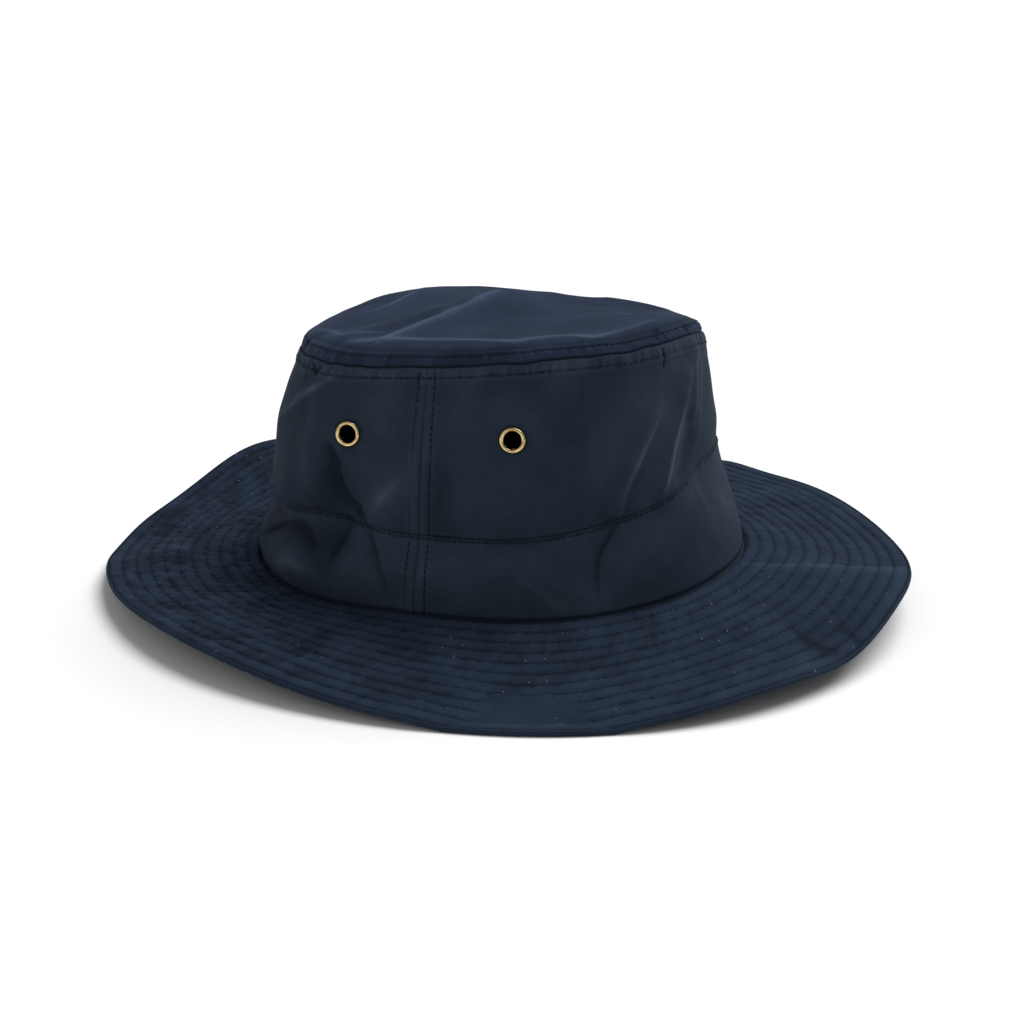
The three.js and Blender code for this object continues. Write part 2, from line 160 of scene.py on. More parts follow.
# Fine creases that only the visible cloth has. Each follows a path of places (angle, share of the
# crown's height, relief there), and fades with one width to the left and one to the right of the
# path. Relief and widths are millimetres.
WALL_CREASES = (
    (((350, 0.58, 0.3), (352, 0.69, 0.8), (356, 0.86, 0.7), (362, 0.92, 0.2)), 2.0, 0.8),
    (((335, 0.36, 0.4), (337, 0.44, 0.9), (340, 0.56, 0.9), (344, 0.66, 0.7), (352, 0.85, 0.3)), 0.8, 2.0),
    (((322, 0.33, 0.3), (324, 0.44, 0.6), (328, 0.54, 0.7), (332, 0.63, 0.6), (338, 0.75, 0.2)), 2.4, 0.9),
    (((315, 0.04, -0.15), (315, 0.13, -0.35), (316, 0.22, -0.55), (322, 0.32, -0.5)), 2.2, 0.8),
    (((353, 0.2, 0.2), (352, 0.25, 0.3), (349, 0.31, 0.15)), 1.5, 2.6),
    (((373, 0.13, 0.1), (368, 0.16, 0.25), (362, 0.19, 0.15)), 2.0, 2.6),
    (((306, 0.06, 0.2), (297, 0.18, 0.3)), 1.8, 1.8),
    (((266, 0.07, -0.1), (262, 0.2, -0.6), (259, 0.28, -0.7), (258, 0.31, -0.3)), 2.6, 0.8),
    (((256, 0.35, -0.4), (254, 0.42, -1.8), (251, 0.49, -2.4),
      (248, 0.57, -1.5), (244, 0.68, -0.2)), 6.5, 1.2),
    (((258, 0.38, 0.3), (262, 0.47, 0.6), (267, 0.56, 0.3)), 8.0, 8.0),
    (((226, 0.985, -0.8), (231, 0.945, -1.2)), 0.5, 0.5),
    (((231.5, 0.95, -1.2), (233.5, 0.99, -0.9)), 0.5, 0.5),
    (((341, 0.9, -0.7), (342, 0.94, -1.1), (341.5, 0.985, -1.1)), 0.7, 0.7),
    (((212, 0.71, 0.4), (218, 0.76, 0.6), (232, 0.87, 0.7), (242, 0.95, 0.5)), 2.6, 1.4),
    (((222, 0.82, 0.3), (234, 0.9, 0.4)), 1.2, 1.2),
    (((212, 0.17, -0.4), (220, 0.245, -1.1), (228, 0.27, -1.1),
      (236, 0.25, -0.9), (242, 0.22, -0.4)), 1.2, 3.8),
    (((251, 0.29, -0.6), (250, 0.25, -1.1), (249, 0.2, -0.5)), 3.0, 4.0),
    (((222, 0.06, 0.2), (236, 0.13, 0.6), (250, 0.09, 0.2)), 6.0, 6.0),
    (((38, 0.5, 0.3), (32, 0.7, 0.7), (20, 0.9, 0.4)), 2.0, 2.0),
    (((70, 0.6, -0.3), (68, 0.8, -0.7), (60, 0.95, -0.4)), 2.0, 1.0),
    (((104, 0.45, 0.1), (111, 0.6, 0.3), (115, 0.75, 0.3), (117, 0.9, 0.1)), 6.0, 4.0),
    (((160, 0.6, 0.1), (159, 0.75, 0.3), (156, 0.9, 0.1)), 4.0, 6.0),
    (((188, 0.45, -0.3), (184, 0.65, -0.7), (190, 0.9, -0.4)), 2.2, 2.2),
)

# Fine creases of the tip in plan, with places in shares of its half length and half width
TIP_CREASES = (
    (((-0.3, -0.84, 0.4), (-0.27, -0.6, 1.1), (-0.23, -0.4, 1.1),
      (-0.18, -0.2, 1.0), (-0.17, 0.4, 0.7)), 1.8, 5.0),
    (((-0.68, -0.12, 0.4), (-0.63, 0.05, 0.8), (-0.6, 0.25, 0.8), (-0.62, 0.5, 0.4)), 1.5, 3.5),
    (((-0.8, -0.45, 0.4), (-0.67, -0.56, 0.7), (-0.54, -0.69, 0.8), (-0.35, -0.66, 0.5)), 2.0, 2.0),
    (((-0.45, -0.8, 0.7), (-0.23, -0.82, 1.2), (0, -0.83, 1.3), (0.22, -0.8, 1.3), (0.38, -0.81, 1.3),
      (0.49, -0.71, 1.2), (0.61, -0.62, 1.1), (0.73, -0.56, 1.0), (0.85, -0.17, 0.6)), 5.0, 1.6),
    (((0.17, 0.62, 0.3), (0.29, 0.55, 0.6), (0.4, 0.52, 0.6), (0.45, 0.62, 0.3)), 1.6, 1.6),
    (((0.5, 0.28, 0.3), (0.58, 0.16, 0.6), (0.66, 0.1, 0.7), (0.73, 0.11, 0.6), (0.8, 0.2, 0.2)), 2.4, 2.4),
    (((-0.1, 0.85, 0.3), (0.1, 0.7, 0.6), (0.3, 0.75, 0.4)), 2.4, 2.4),
    (((0.905, -0.25, -0.7), (0.915, -0.3, -1.2), (0.93, -0.32, -0.9)), 0.8, 0.8),
    (((0.985, -0.08, -0.8), (0.975, 0.02, -0.8)), 0.8, 0.8),
)

# Fine creases of the brim, with places as an angle and a share of its reach
BRIM_CREASES = (
    (((361.5, 0.02, 0.2), (362.5, 0.15, 0.4), (365.5, 0.37, 0.5), (369.5, 0.58, 0.5),
      (374, 0.84, 0.45), (376, 1.0, 0.3)), 6.0, 1.6),
    (((346, 0.62, -0.2), (345.5, 0.76, -0.5), (346.5, 0.9, -0.35)), 3.2, 2.6),
    (((352, 0.82, -0.2), (351, 0.95, -0.5)), 2.6, 3.6),
    (((342, 0.78, 0.1), (340, 0.9, 0.2)), 3.0, 4.0),
    (((236, 0.1, 0.1), (233, 0.35, 0.4), (228, 0.6, 0.2)), 3.0, 6.0),
    (((198, 0.1, 0.1), (202, 0.45, 0.3), (204, 0.8, 0.2)), 2.5, 5.0),
    (((262, 0.1, -0.1), (260, 0.4, -0.3), (260, 0.7, -0.1)), 5.0, 6.0),
    (((120, 0.1, 0.1), (123, 0.5, 0.3), (121, 0.9, 0.1)), 5.0, 8.0),
    (((52, 0.1, -0.1), (48, 0.5, -0.2), (50, 0.9, -0.1)), 5.0, 4.0),
)

# Relief of the cloth in millimetres, and its tone. A tone is added to the relief where the colour
# is worked out: above 0 it makes the cloth paler, below 0 darker. So relief and tone paint light and
# shade into the colour: painted highlights on raised cloth and ridges, painted shade in hollows,
# creases, seams, rows of stitches, at the brim's joint and round the tip's rim, and painted light on
# the band. A line is a dark line's width.
CREASE_POWER = 1.3
# Painted highlights on the creases' ridges and painted shade in their valleys, over a narrower spread
CREASE_TONE = 1.1
TONE_SPREAD = 0.5
PATH_PARTS = 4
# Painted shade along the rows of topstitches and at the seams
STITCH_TONE = 0.4
STITCH_LINE = 0.4
SEAM_TONE = 0.3
SEAM_LINE = 0.5
# Painted shade along the brim's rows of stitches
ROW_TONE = 0.6
ROW_LINE = 0.3
# Painted shade where the band meets the brim
JOINT_TONE = 1.5
JOINT_LINE = 0.6
# Painted light over the whole band, which lifts it out of its shade near the brim
BAND_TONE = 0.25
# Painted shade round the tip's rim, fading out between these distances from the seam
RIM_TONE = 0.45
RIM_TONE_ENDS = (6.5, 9.5)
# Painted shade over the brim's back end: its strength, middle angle and spread
BACK_SHADE_TONE = 0.35
BACK_SHADE_ANGLE = 178
BACK_SHADE_SPREAD = 28

# Noise: rows of its lattice, and the waves of soft cloth as length across, length along and depth
NOISE_ROWS = 64
CLOTH_WAVES = ((26, 24, 0.4), (9, 14, 0.14), (3.2, 5, 0.04))
WAVE_CELLS = 400
GATHER_CELLS = 800
WANDER_CELLS = 58
WANDER_SEED = 71

# Where each panel starts in the noise, in millimetres, then the seeds of its waves and gathers
WALL_NOISE = (500, 11, 21, 22)
BAND_NOISE = (700, 31, 41, 42)
TIP_NOISE = (600, 51, 61)

# Seams and the rows of stitches beside them
VISIBLE_GAP = 0.1
SEAM_ALLOWANCE = 5.4
SEAM_RAISE = 0.5
SEAM_ROLL = 0.75
SEAM_WANDER = 0.65
WANDER_FADE = 14
FLAT_SEAM_RAISE = 0.3
FLAT_SEAM_ROLL = 0.22
FLAT_SEAM_WIDTH = 0.6
TOPSTITCH_SET_IN = 4.2
BAND_STITCH_SET_IN = 1.2
STITCH_DRAW = 0.3
BAND_STITCH_DRAW = 0.2
GATHER_PITCH = 2.1
GATHER_FADE = 2.6
TIP_GATHER = 0.34
TIP_GATHER_PLACE = TOPSTITCH_SET_IN * 0.7
SIDE_GATHER = 0.16
JOINT_TUCK = 0.5
JOINT_DIP = 1.2
EYELET_DENT = 0.35
EYELET_PUCKER = 0.06
EYELET_PUCKERS = 9

# Stitches of thread
STITCH_PITCH = 2.5
STITCH_LENGTH = 1.7
STITCH_SIDES = 5
STITCH_SWAY = 0.14
STITCH_SIZES = (0.8, 1.15)
STITCH_SEED = 900
THREAD_WIDTH = 0.54
CROWN_THREAD_WIDTH = 0.8
STITCH_LIFT = 0.16

# Quilting of the brim. A ripple has a pitch round the brim, a length outwards, a slant and a seed.
QUILT_DEPTH = 0.5
UNDER_QUILT_DEPTH = 0.45
PUCKER_DEPTH = 0.3
PUCKER_FADE = 1.8
RIPPLE_FOLD_DEPTH = 0.22
RIPPLE_WAVE_DEPTH = 0.16
TOP_SEED = 100
UNDER_SEED = 200
RIPPLES = {
    "pucker": (2.2, 4.2, 0.45, 1),
    "fine": (1.32, 3.0, -0.3, 2),
    "fold": (7.2, 7, 0.5, 40),
    "wave": (20, 18, 0, 41),
    "slack": (11, 6.1, 0, 42),
}

# Mesh fineness: steps for normals, counts, spacings in millimetres, and places across a channel
ANGLE_STEP = 0.2
SHARE_STEP = 0.002
HALF_TURN_POINTS = 33
PANEL_COLUMNS = 440
PANEL_SPACING = 0.62
INNER_SPACING = 2.8
TIP_COUNT = 251
TIP_INNER_COUNT = 101
BRIM_COLUMNS = 1320
UNDER_COLUMNS = 900
TOP_PLACES = (0, 0.09, 0.28, 0.5, 0.72, 0.91)
UNDER_PLACES = (0, 0.2, 0.5, 0.8)
EDGE_TURNS = (-55, -25, 5, 35, 62)
LAYER_GAP = 0.1
EYELET_SIDES = 64
LINE_POINTS = 1441

# Camera and studio
CAMERA_AZIMUTH = 26
CAMERA_ELEVATION = 20
CAMERA_DISTANCE = 1100
CAMERA_TARGET = (7.8, -4.5, 33)
PIXELS_PER_MM = 2.47
IMAGE_PIXELS = 1024
SENSOR_MM = 36
FILL_STRENGTH = 0.29
KEY_STRENGTH = 3.2
KEY_SPREAD = 48
KEY_TOWARDS = (0.3, 0.56, 0.98)
FRONT_STRENGTH = 0.5
FRONT_SPREAD = 80
FRONT_TOWARDS = (-0.35, -1.0, 0.3)
FLOOR_RADIUS = 9

# Colours that the materials share
# Gain of the colour ramp's palest stop over the light colour: a painted highlight for ridges and raised
# cloth
RIDGE_GAIN = (2.1, 1.95, 1.75)
# Pale specks on the cloth: cells per millimetre, speck radius in millimetres, and their colour
SPECK_CELLS = 0.16
SPECK_RADIUS = 0.21
SPECK_COLOUR = (0.2, 0.225, 0.28, 1)
SHEEN_TINT = (0.5, 0.68, 1.0, 1.0)
SHINE_TINT = (0.55, 0.75, 1.0, 1.0)


# Small mathematics
def mix(low, high, share):
    return low + (high - low) * share


def bell(distance, width):
    return np.exp(-((distance / width) ** 2))


def smooth_step(low, high, value):
    share = np.clip((value - low) / (high - low), 0, 1)
    return share * share * (3 - 2 * share)

def turn_from(middle, angle):
    """Degrees from one angle to another, the short way round."""
    return np.mod(angle - middle + 180, 360) - 180


def nearest_turn(x, middle, round_length):
    """Lengths round the hat, moved by whole turns to lie nearest a middle. The tip has no turns."""
    return x + round_length * np.round((middle - x) / round_length) if round_length else x


def curve_between(before, start, end, after, share):
    """A place on the smooth curve through four even steps, between the middle two."""
    slope = end - before
    bend = 2 * before - 5 * start + 4 * end - after
    twist = 3 * start - before - 3 * end + after
    return start + 0.5 * (slope * share + bend * share**2 + twist * share**3)


def at_angle(column, angle):
    """A column of the stations at any angle, as a smooth closed curve."""
    values = STATIONS[:, STATION_COLUMNS.index(column)]
    place = np.mod(angle, 360) / (360 / len(values))
    first = np.floor(place).astype(int)
    around = (values[(first + step) % len(values)] for step in (-1, 0, 1, 2))
    return curve_between(*around, place - first)


def smooth_path(path):
    """A path with more points, on a smooth curve through the given ones."""
    ends = np.vstack([2 * path[0] - path[1], path, 2 * path[-1] - path[-2]])
    place = np.linspace(0, len(path) - 1, (len(path) - 1) * PATH_PARTS + 1)
    first = np.minimum(place.astype(int), len(path) - 2)
    around = (ends[first + step] for step in range(4))
    return curve_between(*around, (place - first)[:, None])


def smooth_noise(across, along, wrap, seed):
    """A smooth random field from -1 to 1 in cells, which repeats after wrap cells across."""
    lattice = np.random.default_rng(seed).uniform(-1, 1, (wrap, NOISE_ROWS))
    column, row = np.floor(across).astype(int), np.floor(along).astype(int)
    right, up = smooth_step(0, 1, across - column), smooth_step(0, 1, along - row)
    corner = [lattice[(column + i) % wrap, (row + j) % NOISE_ROWS] for i in (0, 1) for j in (0, 1)]
    return mix(mix(corner[0], corner[1], up), mix(corner[2], corner[3], up), right)


def on_segment(x, y, start, end):
    """How far along a segment its nearest place is, as a share, and the distance to it."""
    run_x, run_y = end[0] - start[0], end[1] - start[1]
    along = ((x - start[0]) * run_x + (y - start[1]) * run_y) / (run_x**2 + run_y**2)
    share = np.clip(along, 0, 1)
    return share, np.hypot(x - start[0] - run_x * share, y - start[1] - run_y * share)


def folds(x, y, table, units, round_length=0):
    """How far a table of the part's straight folds pushes the cloth out."""
    push = 0
    for *ends, width, depth in table:
        start, end = np.reshape(ends, (2, 2)) * units
        here = nearest_turn(x, (start[0] + end[0]) / 2, round_length)
        distance = on_segment(here, y, start, end)[1]
        push = push + depth * FOLD_DEPTH * bell(distance, width * FOLD_WIDTH)
    return push


def creases(x, y, table, units, spread, round_length=0):
    """Relief of a table of creases. Beside its path each crease fades with its own left or right
    width, times spread."""
    relief = 0
    for path, left, right in table:
        points = smooth_path(np.array(path) * (*units, 1))
        here = nearest_turn(x, points[:, 0].mean(), round_length)
        nearest = np.full(np.broadcast(here, y).shape, np.inf)
        side, height = np.zeros_like(nearest), np.zeros_like(nearest)
        for start, end in zip(points, points[1:]):
            run_x, run_y = end[0] - start[0], end[1] - start[1]
            ahead, distance = on_segment(here, y, start, end)
            across = ((here - start[0]) * run_y - (y - start[1]) * run_x) / math.hypot(run_x, run_y)
            closer = distance < nearest
            nearest = np.where(closer, distance, nearest)
            side = np.where(closer, across / np.maximum(distance, 1e-6), side)
            height = np.where(closer, mix(start[2], end[2], ahead), height)
        width = spread * mix(left, right, 0.5 + 0.5 * np.clip(side, -1, 1))
        relief = relief + height * np.exp(-((nearest / width) ** CREASE_POWER))
    return relief


# Surfaces of the hat, as in the part. Each returns points for arrays of two parameters.
def stack(x, y, z):
    return np.stack(np.broadcast_arrays(x, y, z), axis=-1)


def oval(end_inset, side_inset, angle, out):
    """Plan coordinates of an oval round the head, moved out along its normal."""
    half_length = HEAD_LENGTH / 2 - end_inset
    half_width = HEAD_WIDTH / 2 - side_inset
    turn = np.radians(angle)
    normal_x, normal_y = half_width * np.cos(turn), half_length * np.sin(turn)
    scale = out / np.hypot(normal_x, normal_y)
    return half_length * np.cos(turn) + normal_x * scale, half_width * np.sin(turn) + normal_y * scale


def joint_top(angle):
    return JOINT_RISE * at_angle("joint", angle) + BRIM_WALL


def band_top(angle):
    return joint_top(angle) + BAND_HEIGHT * at_angle("band", angle)


def wall_top(angle):
    return joint_top(angle) + CROWN_HEIGHT * at_angle("tip", angle)


def band_height(angle):
    return band_top(angle) - joint_top(angle) + BRIM_WALL


def wall_height(angle):
    return wall_top(angle) - band_top(angle)


# Millimetres that a degree and a height share, or the shares of the tip or brim, stand for
MM_PER_DEGREE = math.pi * (HEAD_LENGTH + HEAD_WIDTH) / 2 / 360
BAND_SHARE = BAND_HEIGHT / CROWN_HEIGHT
WALL_UNITS = (MM_PER_DEGREE, CROWN_HEIGHT)
TIP_UNITS = (HEAD_LENGTH / 2 - TIP_END_INSET, HEAD_WIDTH / 2 - TIP_SIDE_INSET)
BRIM_UNITS = (math.radians((HEAD_LENGTH + HEAD_WIDTH) / 4 + BRIM_REACH / 2), BRIM_REACH)


def fold_out(angle, height):
    """How far the part's folds push the crown's wall out."""
    across, up = angle * MM_PER_DEGREE, height * CROWN_HEIGHT
    return folds(across, up, WALL_FOLDS, WALL_UNITS, 360 * MM_PER_DEGREE)


def band_point(angle, share, out=0):
    swell = BAND_BULGE * at_angle("flare", angle) * np.sin(math.pi * share) ** 2
    push = swell + fold_out(angle, BAND_SHARE * share) + out
    x, y = oval(BAND_END_INSET * share, BAND_SIDE_INSET * share, angle, push)
    return stack(x, y, mix(joint_top(angle) - BRIM_WALL, band_top(angle), share))


def seam_wander(angle):
    """The tip seam's small ups and downs."""
    place = np.asarray(angle) / 360 * WANDER_CELLS
    return SEAM_WANDER * smooth_noise(place, np.asarray(0.5), WANDER_CELLS, WANDER_SEED)


def wall_point(angle, share, out=0):
    swell = WALL_BULGE * at_angle("bulge", angle) * np.sin(math.pi * share)
    push = swell + fold_out(angle, mix(BAND_SHARE, 1, share)) + out
    end_inset = mix(BAND_END_INSET, TIP_END_INSET, share)
    side_inset = mix(BAND_SIDE_INSET, TIP_SIDE_INSET, share)
    x, y = oval(end_inset, side_inset, angle, push)
    height = mix(band_top(angle), wall_top(angle), share)
    return stack(x, y, height + seam_wander(angle) * share**WANDER_FADE)


MEAN_WALL_TOP = wall_top(np.arange(360)).mean()


def tip_point(u, v):
    """The tip's outer skin, for u and v inside the unit circle."""
    angle = np.degrees(np.arctan2(v, u))
    share = np.hypot(u, v)
    rim = wall_point(angle, 1)
    x, y = rim[..., 0] * share, rim[..., 1] * share
    shoulder = SHOULDER_RISE * (1 - share**SHOULDER_POWER)
    dome = DOME_RISE * (1 - share**2)
    slope = mix(MEAN_WALL_TOP, wall_top(angle), share**SLOPE_POWER)
    skin = folds(x, y, TIP_FOLDS, TIP_UNITS) * (1 - share**FOLD_FADE)
    wander = seam_wander(angle) * share**WANDER_FADE
    return stack(x, y, slope + shoulder + dome + skin + wander + VISIBLE_GAP)


def brim_point(angle, share, up=0):
    """The brim's underside, from the crown at share 0 to the edge at share 1, raised by up."""
    reach = BRIM_REACH * at_angle("reach", angle) * share
    height = mix(joint_top(angle) - BRIM_WALL, BRIM_RISE * at_angle("edge", angle), share)
    growth = np.sin(math.pi * share / 2)
    for fold_angle, fold_reach, spread, length, rise in BRIM_FOLDS:
        turn = turn_from(angle, fold_angle) / spread
        run = (share - fold_reach) / length
        height = height + rise * BRIM_FOLD_HEIGHT * growth * np.exp(-(turn**2) - run**2)
    x, y = oval(0, 0, angle, fold_out(angle, 0) * (1 - share) + SEAM_GAP + reach)
    return stack(x, y, np.maximum(height, 0) + up)


def brim_top_point(angle, share):
    return brim_point(angle, share, BRIM_WALL)


class Skin(NamedTuple):
    """A skin of cloth: its smooth surface, and the relief and the tone on it. step is a small
    step of the surface's first parameter, and facing is -1 where its sense is reversed."""

    surface: Callable
    relief: Callable
    tone: Callable = None
    step: float = ANGLE_STEP
    facing: int = 1

    def normal(self, a, b):
        """Unit normals, from small steps of the surface's two parameters."""
        along_a = self.surface(a + self.step, b) - self.surface(a - self.step, b)
        along_b = self.surface(a, b + SHARE_STEP) - self.surface(a, b - SHARE_STEP)
        normal = self.facing * np.cross(along_a, along_b)
        return normal / np.linalg.norm(normal, axis=-1, keepdims=True)

    def raised(self, a, b, out):
        return self.surface(a, b) + self.normal(a, b) * np.asarray(out)[..., None]

    def dressed(self, a, b):
        return self.raised(a, b, self.relief(a, b))


# Seams
SIDE_SEAM = math.degrees(math.acos(SIDE_SEAM_FORWARD / (HEAD_LENGTH / 2)))
EYELET_HALF_LENGTH = HEAD_LENGTH / 2 - mix(BAND_END_INSET, TIP_END_INSET, EYELET_HEIGHT)


def eyelet_angles():
    """The angles of the four eyelets by name."""
    places = {}
    for side, turn in (("near", -1), ("far", 1)):
        for end, forward in (("front", 1), ("back", -1)):
            along = SIDE_SEAM_FORWARD + forward * EYELET_SPREAD
            places[f"eyelet_{side}_{end}"] = turn * math.degrees(math.acos(along / EYELET_HALF_LENGTH))
    return places


def seam_edge(distance, radius, raise_by):
    """Relief near a seam that the cloth turns into: rolled in at the seam, raised over the
    allowance, and drawn in at the topstitch."""
    inward = np.clip(1 - distance / radius, 0, 1)
    roll = -radius * (1 - np.sqrt(np.clip(1 - inward**2, 0, 1)))
    raised = raise_by * (1 - smooth_step(SEAM_ALLOWANCE - 0.5, SEAM_ALLOWANCE + 1.2, distance))
    drawn = -STITCH_DRAW * bell(distance - TOPSTITCH_SET_IN, 0.55)
    return roll + raised + drawn


def side_seam_distance(angle):
    """Millimetres from the nearest side seam, on a wall or band."""
    turns = np.minimum(np.abs(turn_from(SIDE_SEAM, angle)), np.abs(turn_from(-SIDE_SEAM, angle)))
    return turns * math.radians(HEAD_LENGTH / 2)


def crease_relief(angle, height, spread=1):
    across, up = angle * MM_PER_DEGREE, height * CROWN_HEIGHT
    return creases(across, up, WALL_CREASES, WALL_UNITS, spread, 360 * MM_PER_DEGREE)


def cloth_waves(across_mm, along_mm, seed):
    """The slight unevenness of soft cloth: broad waves, and small ripples along one way."""
    return sum(
        depth * smooth_noise(across_mm / across, along_mm / along + 8, WAVE_CELLS, seed + number)
        for number, (across, along, depth) in enumerate(CLOTH_WAVES))


def gathers(across_mm, distance, seed):
    """Short puckers that a row of topstitches makes across itself."""
    across = across_mm / GATHER_PITCH
    long_wave = smooth_noise(across, distance / 9 + 3, GATHER_CELLS, seed)
    short_wave = smooth_noise(across * 1.9, distance / 4 + 3, GATHER_CELLS, seed + 500)
    return (long_wave + 0.5 * short_wave) * bell(distance, GATHER_FADE)


def wall_relief(angle, share):
    start, waves, rim_gathers, side_gathers = WALL_NOISE
    from_top = (1 - share) * wall_height(angle)
    from_side = side_seam_distance(angle)
    across = angle * MM_PER_DEGREE + start
    along = share * wall_height(angle)
    relief = crease_relief(angle, mix(BAND_SHARE, 1, share)) + cloth_waves(across, along, waves)
    return (
        relief * smooth_step(0, 3, np.minimum(from_top, from_side))
        + seam_edge(from_top, SEAM_ROLL, SEAM_RAISE)
        + seam_edge(from_side, FLAT_SEAM_ROLL, FLAT_SEAM_RAISE)
        - FLAT_SEAM_ROLL * bell(along, FLAT_SEAM_WIDTH)
        + TIP_GATHER * gathers(across, from_top - TIP_GATHER_PLACE, rim_gathers)
        + SIDE_GATHER * gathers(along + start, from_side - TOPSTITCH_SET_IN, side_gathers)
        + eyelet_dent(angle, share)
    )


def seam_tone(distance, set_in=TOPSTITCH_SET_IN):
    """Painted shade at a seam and along the stitches beside it."""
    return -STITCH_TONE * bell(distance - set_in, STITCH_LINE) - SEAM_TONE * bell(distance, SEAM_LINE)


# The wall's tone: painted highlights on the creases' ridges, painted shade in their valleys, at the seams
# and along their stitches
def wall_tone(angle, share):
    tone = CREASE_TONE * crease_relief(angle, mix(BAND_SHARE, 1, share), TONE_SPREAD)
    return tone + seam_tone((1 - share) * wall_height(angle)) + seam_tone(side_seam_distance(angle))


def eyelet_dent(angle, share):
    """The cloth is pressed down under each eyelet's flange, and puckers a little round it."""
    relief = 0
    for middle in eyelet_angles().values():
        x = turn_from(middle, angle) * MM_PER_DEGREE
        y = (share - EYELET_HEIGHT) * wall_height(middle)
        distance = np.hypot(x, y)
        spoke = np.cos(EYELET_PUCKERS * np.arctan2(y, x))
        pressed = 1 - smooth_step(EYELET_FLANGE - 1, EYELET_FLANGE + 2.5, distance)
        puckered = EYELET_PUCKER * spoke * bell(distance - EYELET_FLANGE - 1.4, 1.6)
        relief = relief - EYELET_DENT * pressed + puckered
    return relief


def band_relief(angle, share):
    start, waves, top_gathers, side_gathers = BAND_NOISE
    from_top = (1 - share) * band_height(angle)
    from_side = side_seam_distance(angle)
    across = angle * MM_PER_DEGREE + start
    along = share * band_height(angle)
    relief = crease_relief(angle, BAND_SHARE * share) + cloth_waves(across, along, waves)
    return (
        relief * smooth_step(0, 3, from_side)
        + seam_edge(from_side, FLAT_SEAM_ROLL, FLAT_SEAM_RAISE)
        - FLAT_SEAM_ROLL * bell(from_top, FLAT_SEAM_WIDTH)
        - BAND_STITCH_DRAW * bell(from_top - BAND_STITCH_SET_IN, 0.5)
        + SIDE_GATHER * gathers(across, from_top - BAND_STITCH_SET_IN, top_gathers)
        - JOINT_TUCK * bell(along - BRIM_WALL, 0.8)
        + SIDE_GATHER * gathers(along + start, from_side - TOPSTITCH_SET_IN, side_gathers)
    )


# The band's tone: painted light over the whole band, painted highlights and shade on its creases, painted
# shade at the joint with the brim, at the seams and along their stitches
def band_tone(angle, share):
    height = band_height(angle)
    tone = BAND_TONE + CREASE_TONE * crease_relief(angle, BAND_SHARE * share, TONE_SPREAD)
    tone = tone - JOINT_TONE * bell(share * height - BRIM_WALL, JOINT_LINE)
    return tone + seam_tone((1 - share) * height, BAND_STITCH_SET_IN) + seam_tone(side_seam_distance(angle))


def tip_profile():
    """Distance over the tip's surface from its rim, as a table over shares of the way out."""
    shares = np.linspace(1, 0, 400)
    run = shares * sum(TIP_UNITS) / 2
    rise = SHOULDER_RISE * (1 - shares**SHOULDER_POWER)
    steps = np.hypot(np.diff(run), np.diff(rise))
    return shares, np.concatenate([[0], np.cumsum(steps)])


def rim_distance(u, v):
    shares, distances = tip_profile()
    return np.interp(np.hypot(u, v), shares[::-1], distances[::-1])


def tip_creases(u, v, spread=1):
    return creases(u * TIP_UNITS[0], v * TIP_UNITS[1], TIP_CREASES, TIP_UNITS, spread)


# The tip's tone: painted highlights and shade on its creases, painted shade at the seam, along the stitches
# and round the rim
def tip_tone(u, v):
    from_rim = rim_distance(u, v)
    stitched = bell(from_rim, SEAM_LINE) + bell(from_rim - TOPSTITCH_SET_IN, STITCH_LINE)
    rim = 1 - smooth_step(*RIM_TONE_ENDS, from_rim)
    return CREASE_TONE * tip_creases(u, v, TONE_SPREAD) - STITCH_TONE * stitched - RIM_TONE * rim


def tip_relief(u, v):
    start, waves, rim_gathers = TIP_NOISE
    from_rim = rim_distance(u, v)
    across = np.degrees(np.arctan2(v, u)) * MM_PER_DEGREE * 0.8
    relief = tip_creases(u, v) + cloth_waves(u * TIP_UNITS[0] + start, v * TIP_UNITS[1] + 100, waves)
    return (
        relief * smooth_step(0, 5, from_rim)
        + seam_edge(from_rim, SEAM_ROLL, SEAM_RAISE)
        + TIP_GATHER * gathers(across + start, from_rim - TIP_GATHER_PLACE, rim_gathers)
    )


# Quilting of the brim
CHANNELS = STITCH_ROWS + 1
HEM_SHARE = HEM / BRIM_REACH


def row_share(row):
    return (1 - HEM_SHARE) * row / CHANNELS


def quilt_relief(angle, share, depth, seed):
    """Puffed channels between the rows of stitches, with the puckers that the rows make."""
    channel = share / (1 - HEM_SHARE) * CHANNELS
    place = channel - np.floor(channel)
    puff = np.clip(1 - np.abs(2 * place - 1) ** 2.4, 0, 1) ** 0.65
    reach = BRIM_REACH * share
    strength = at_angle("pucker", angle)
    round_length = math.pi * (HEAD_LENGTH + HEAD_WIDTH) / 2 + math.pi * BRIM_REACH
    ripple = {}
    for name, (pitch, length, slant, step) in RIPPLES.items():
        cells = round(round_length / pitch)
        across = angle / 360 * cells + reach * slant / pitch
        ripple[name] = smooth_noise(across, reach / length + 3, cells, seed + step)
    near_row = np.minimum(place, 1 - place) * BRIM_REACH / CHANNELS
    from_hem = BRIM_REACH * (1 - HEM_SHARE) - reach
    gathered = mix(0.35 * strength, 1, bell(near_row, PUCKER_FADE))
    gathered = strength * gathered * (0.4 + 0.6 * smooth_step(0, 2, from_hem))
    calm = smooth_step(0, 6, reach) * smooth_step(-1, 5, from_hem)
    slow = RIPPLE_FOLD_DEPTH * strength * ripple["fold"] + RIPPLE_WAVE_DEPTH * ripple["wave"]
    puffed = depth * (puff - 1) * (1 + 0.2 * ripple["slack"])
    return puffed + PUCKER_DEPTH * gathered * (ripple["pucker"] + 0.6 * ripple["fine"]) + calm * slow


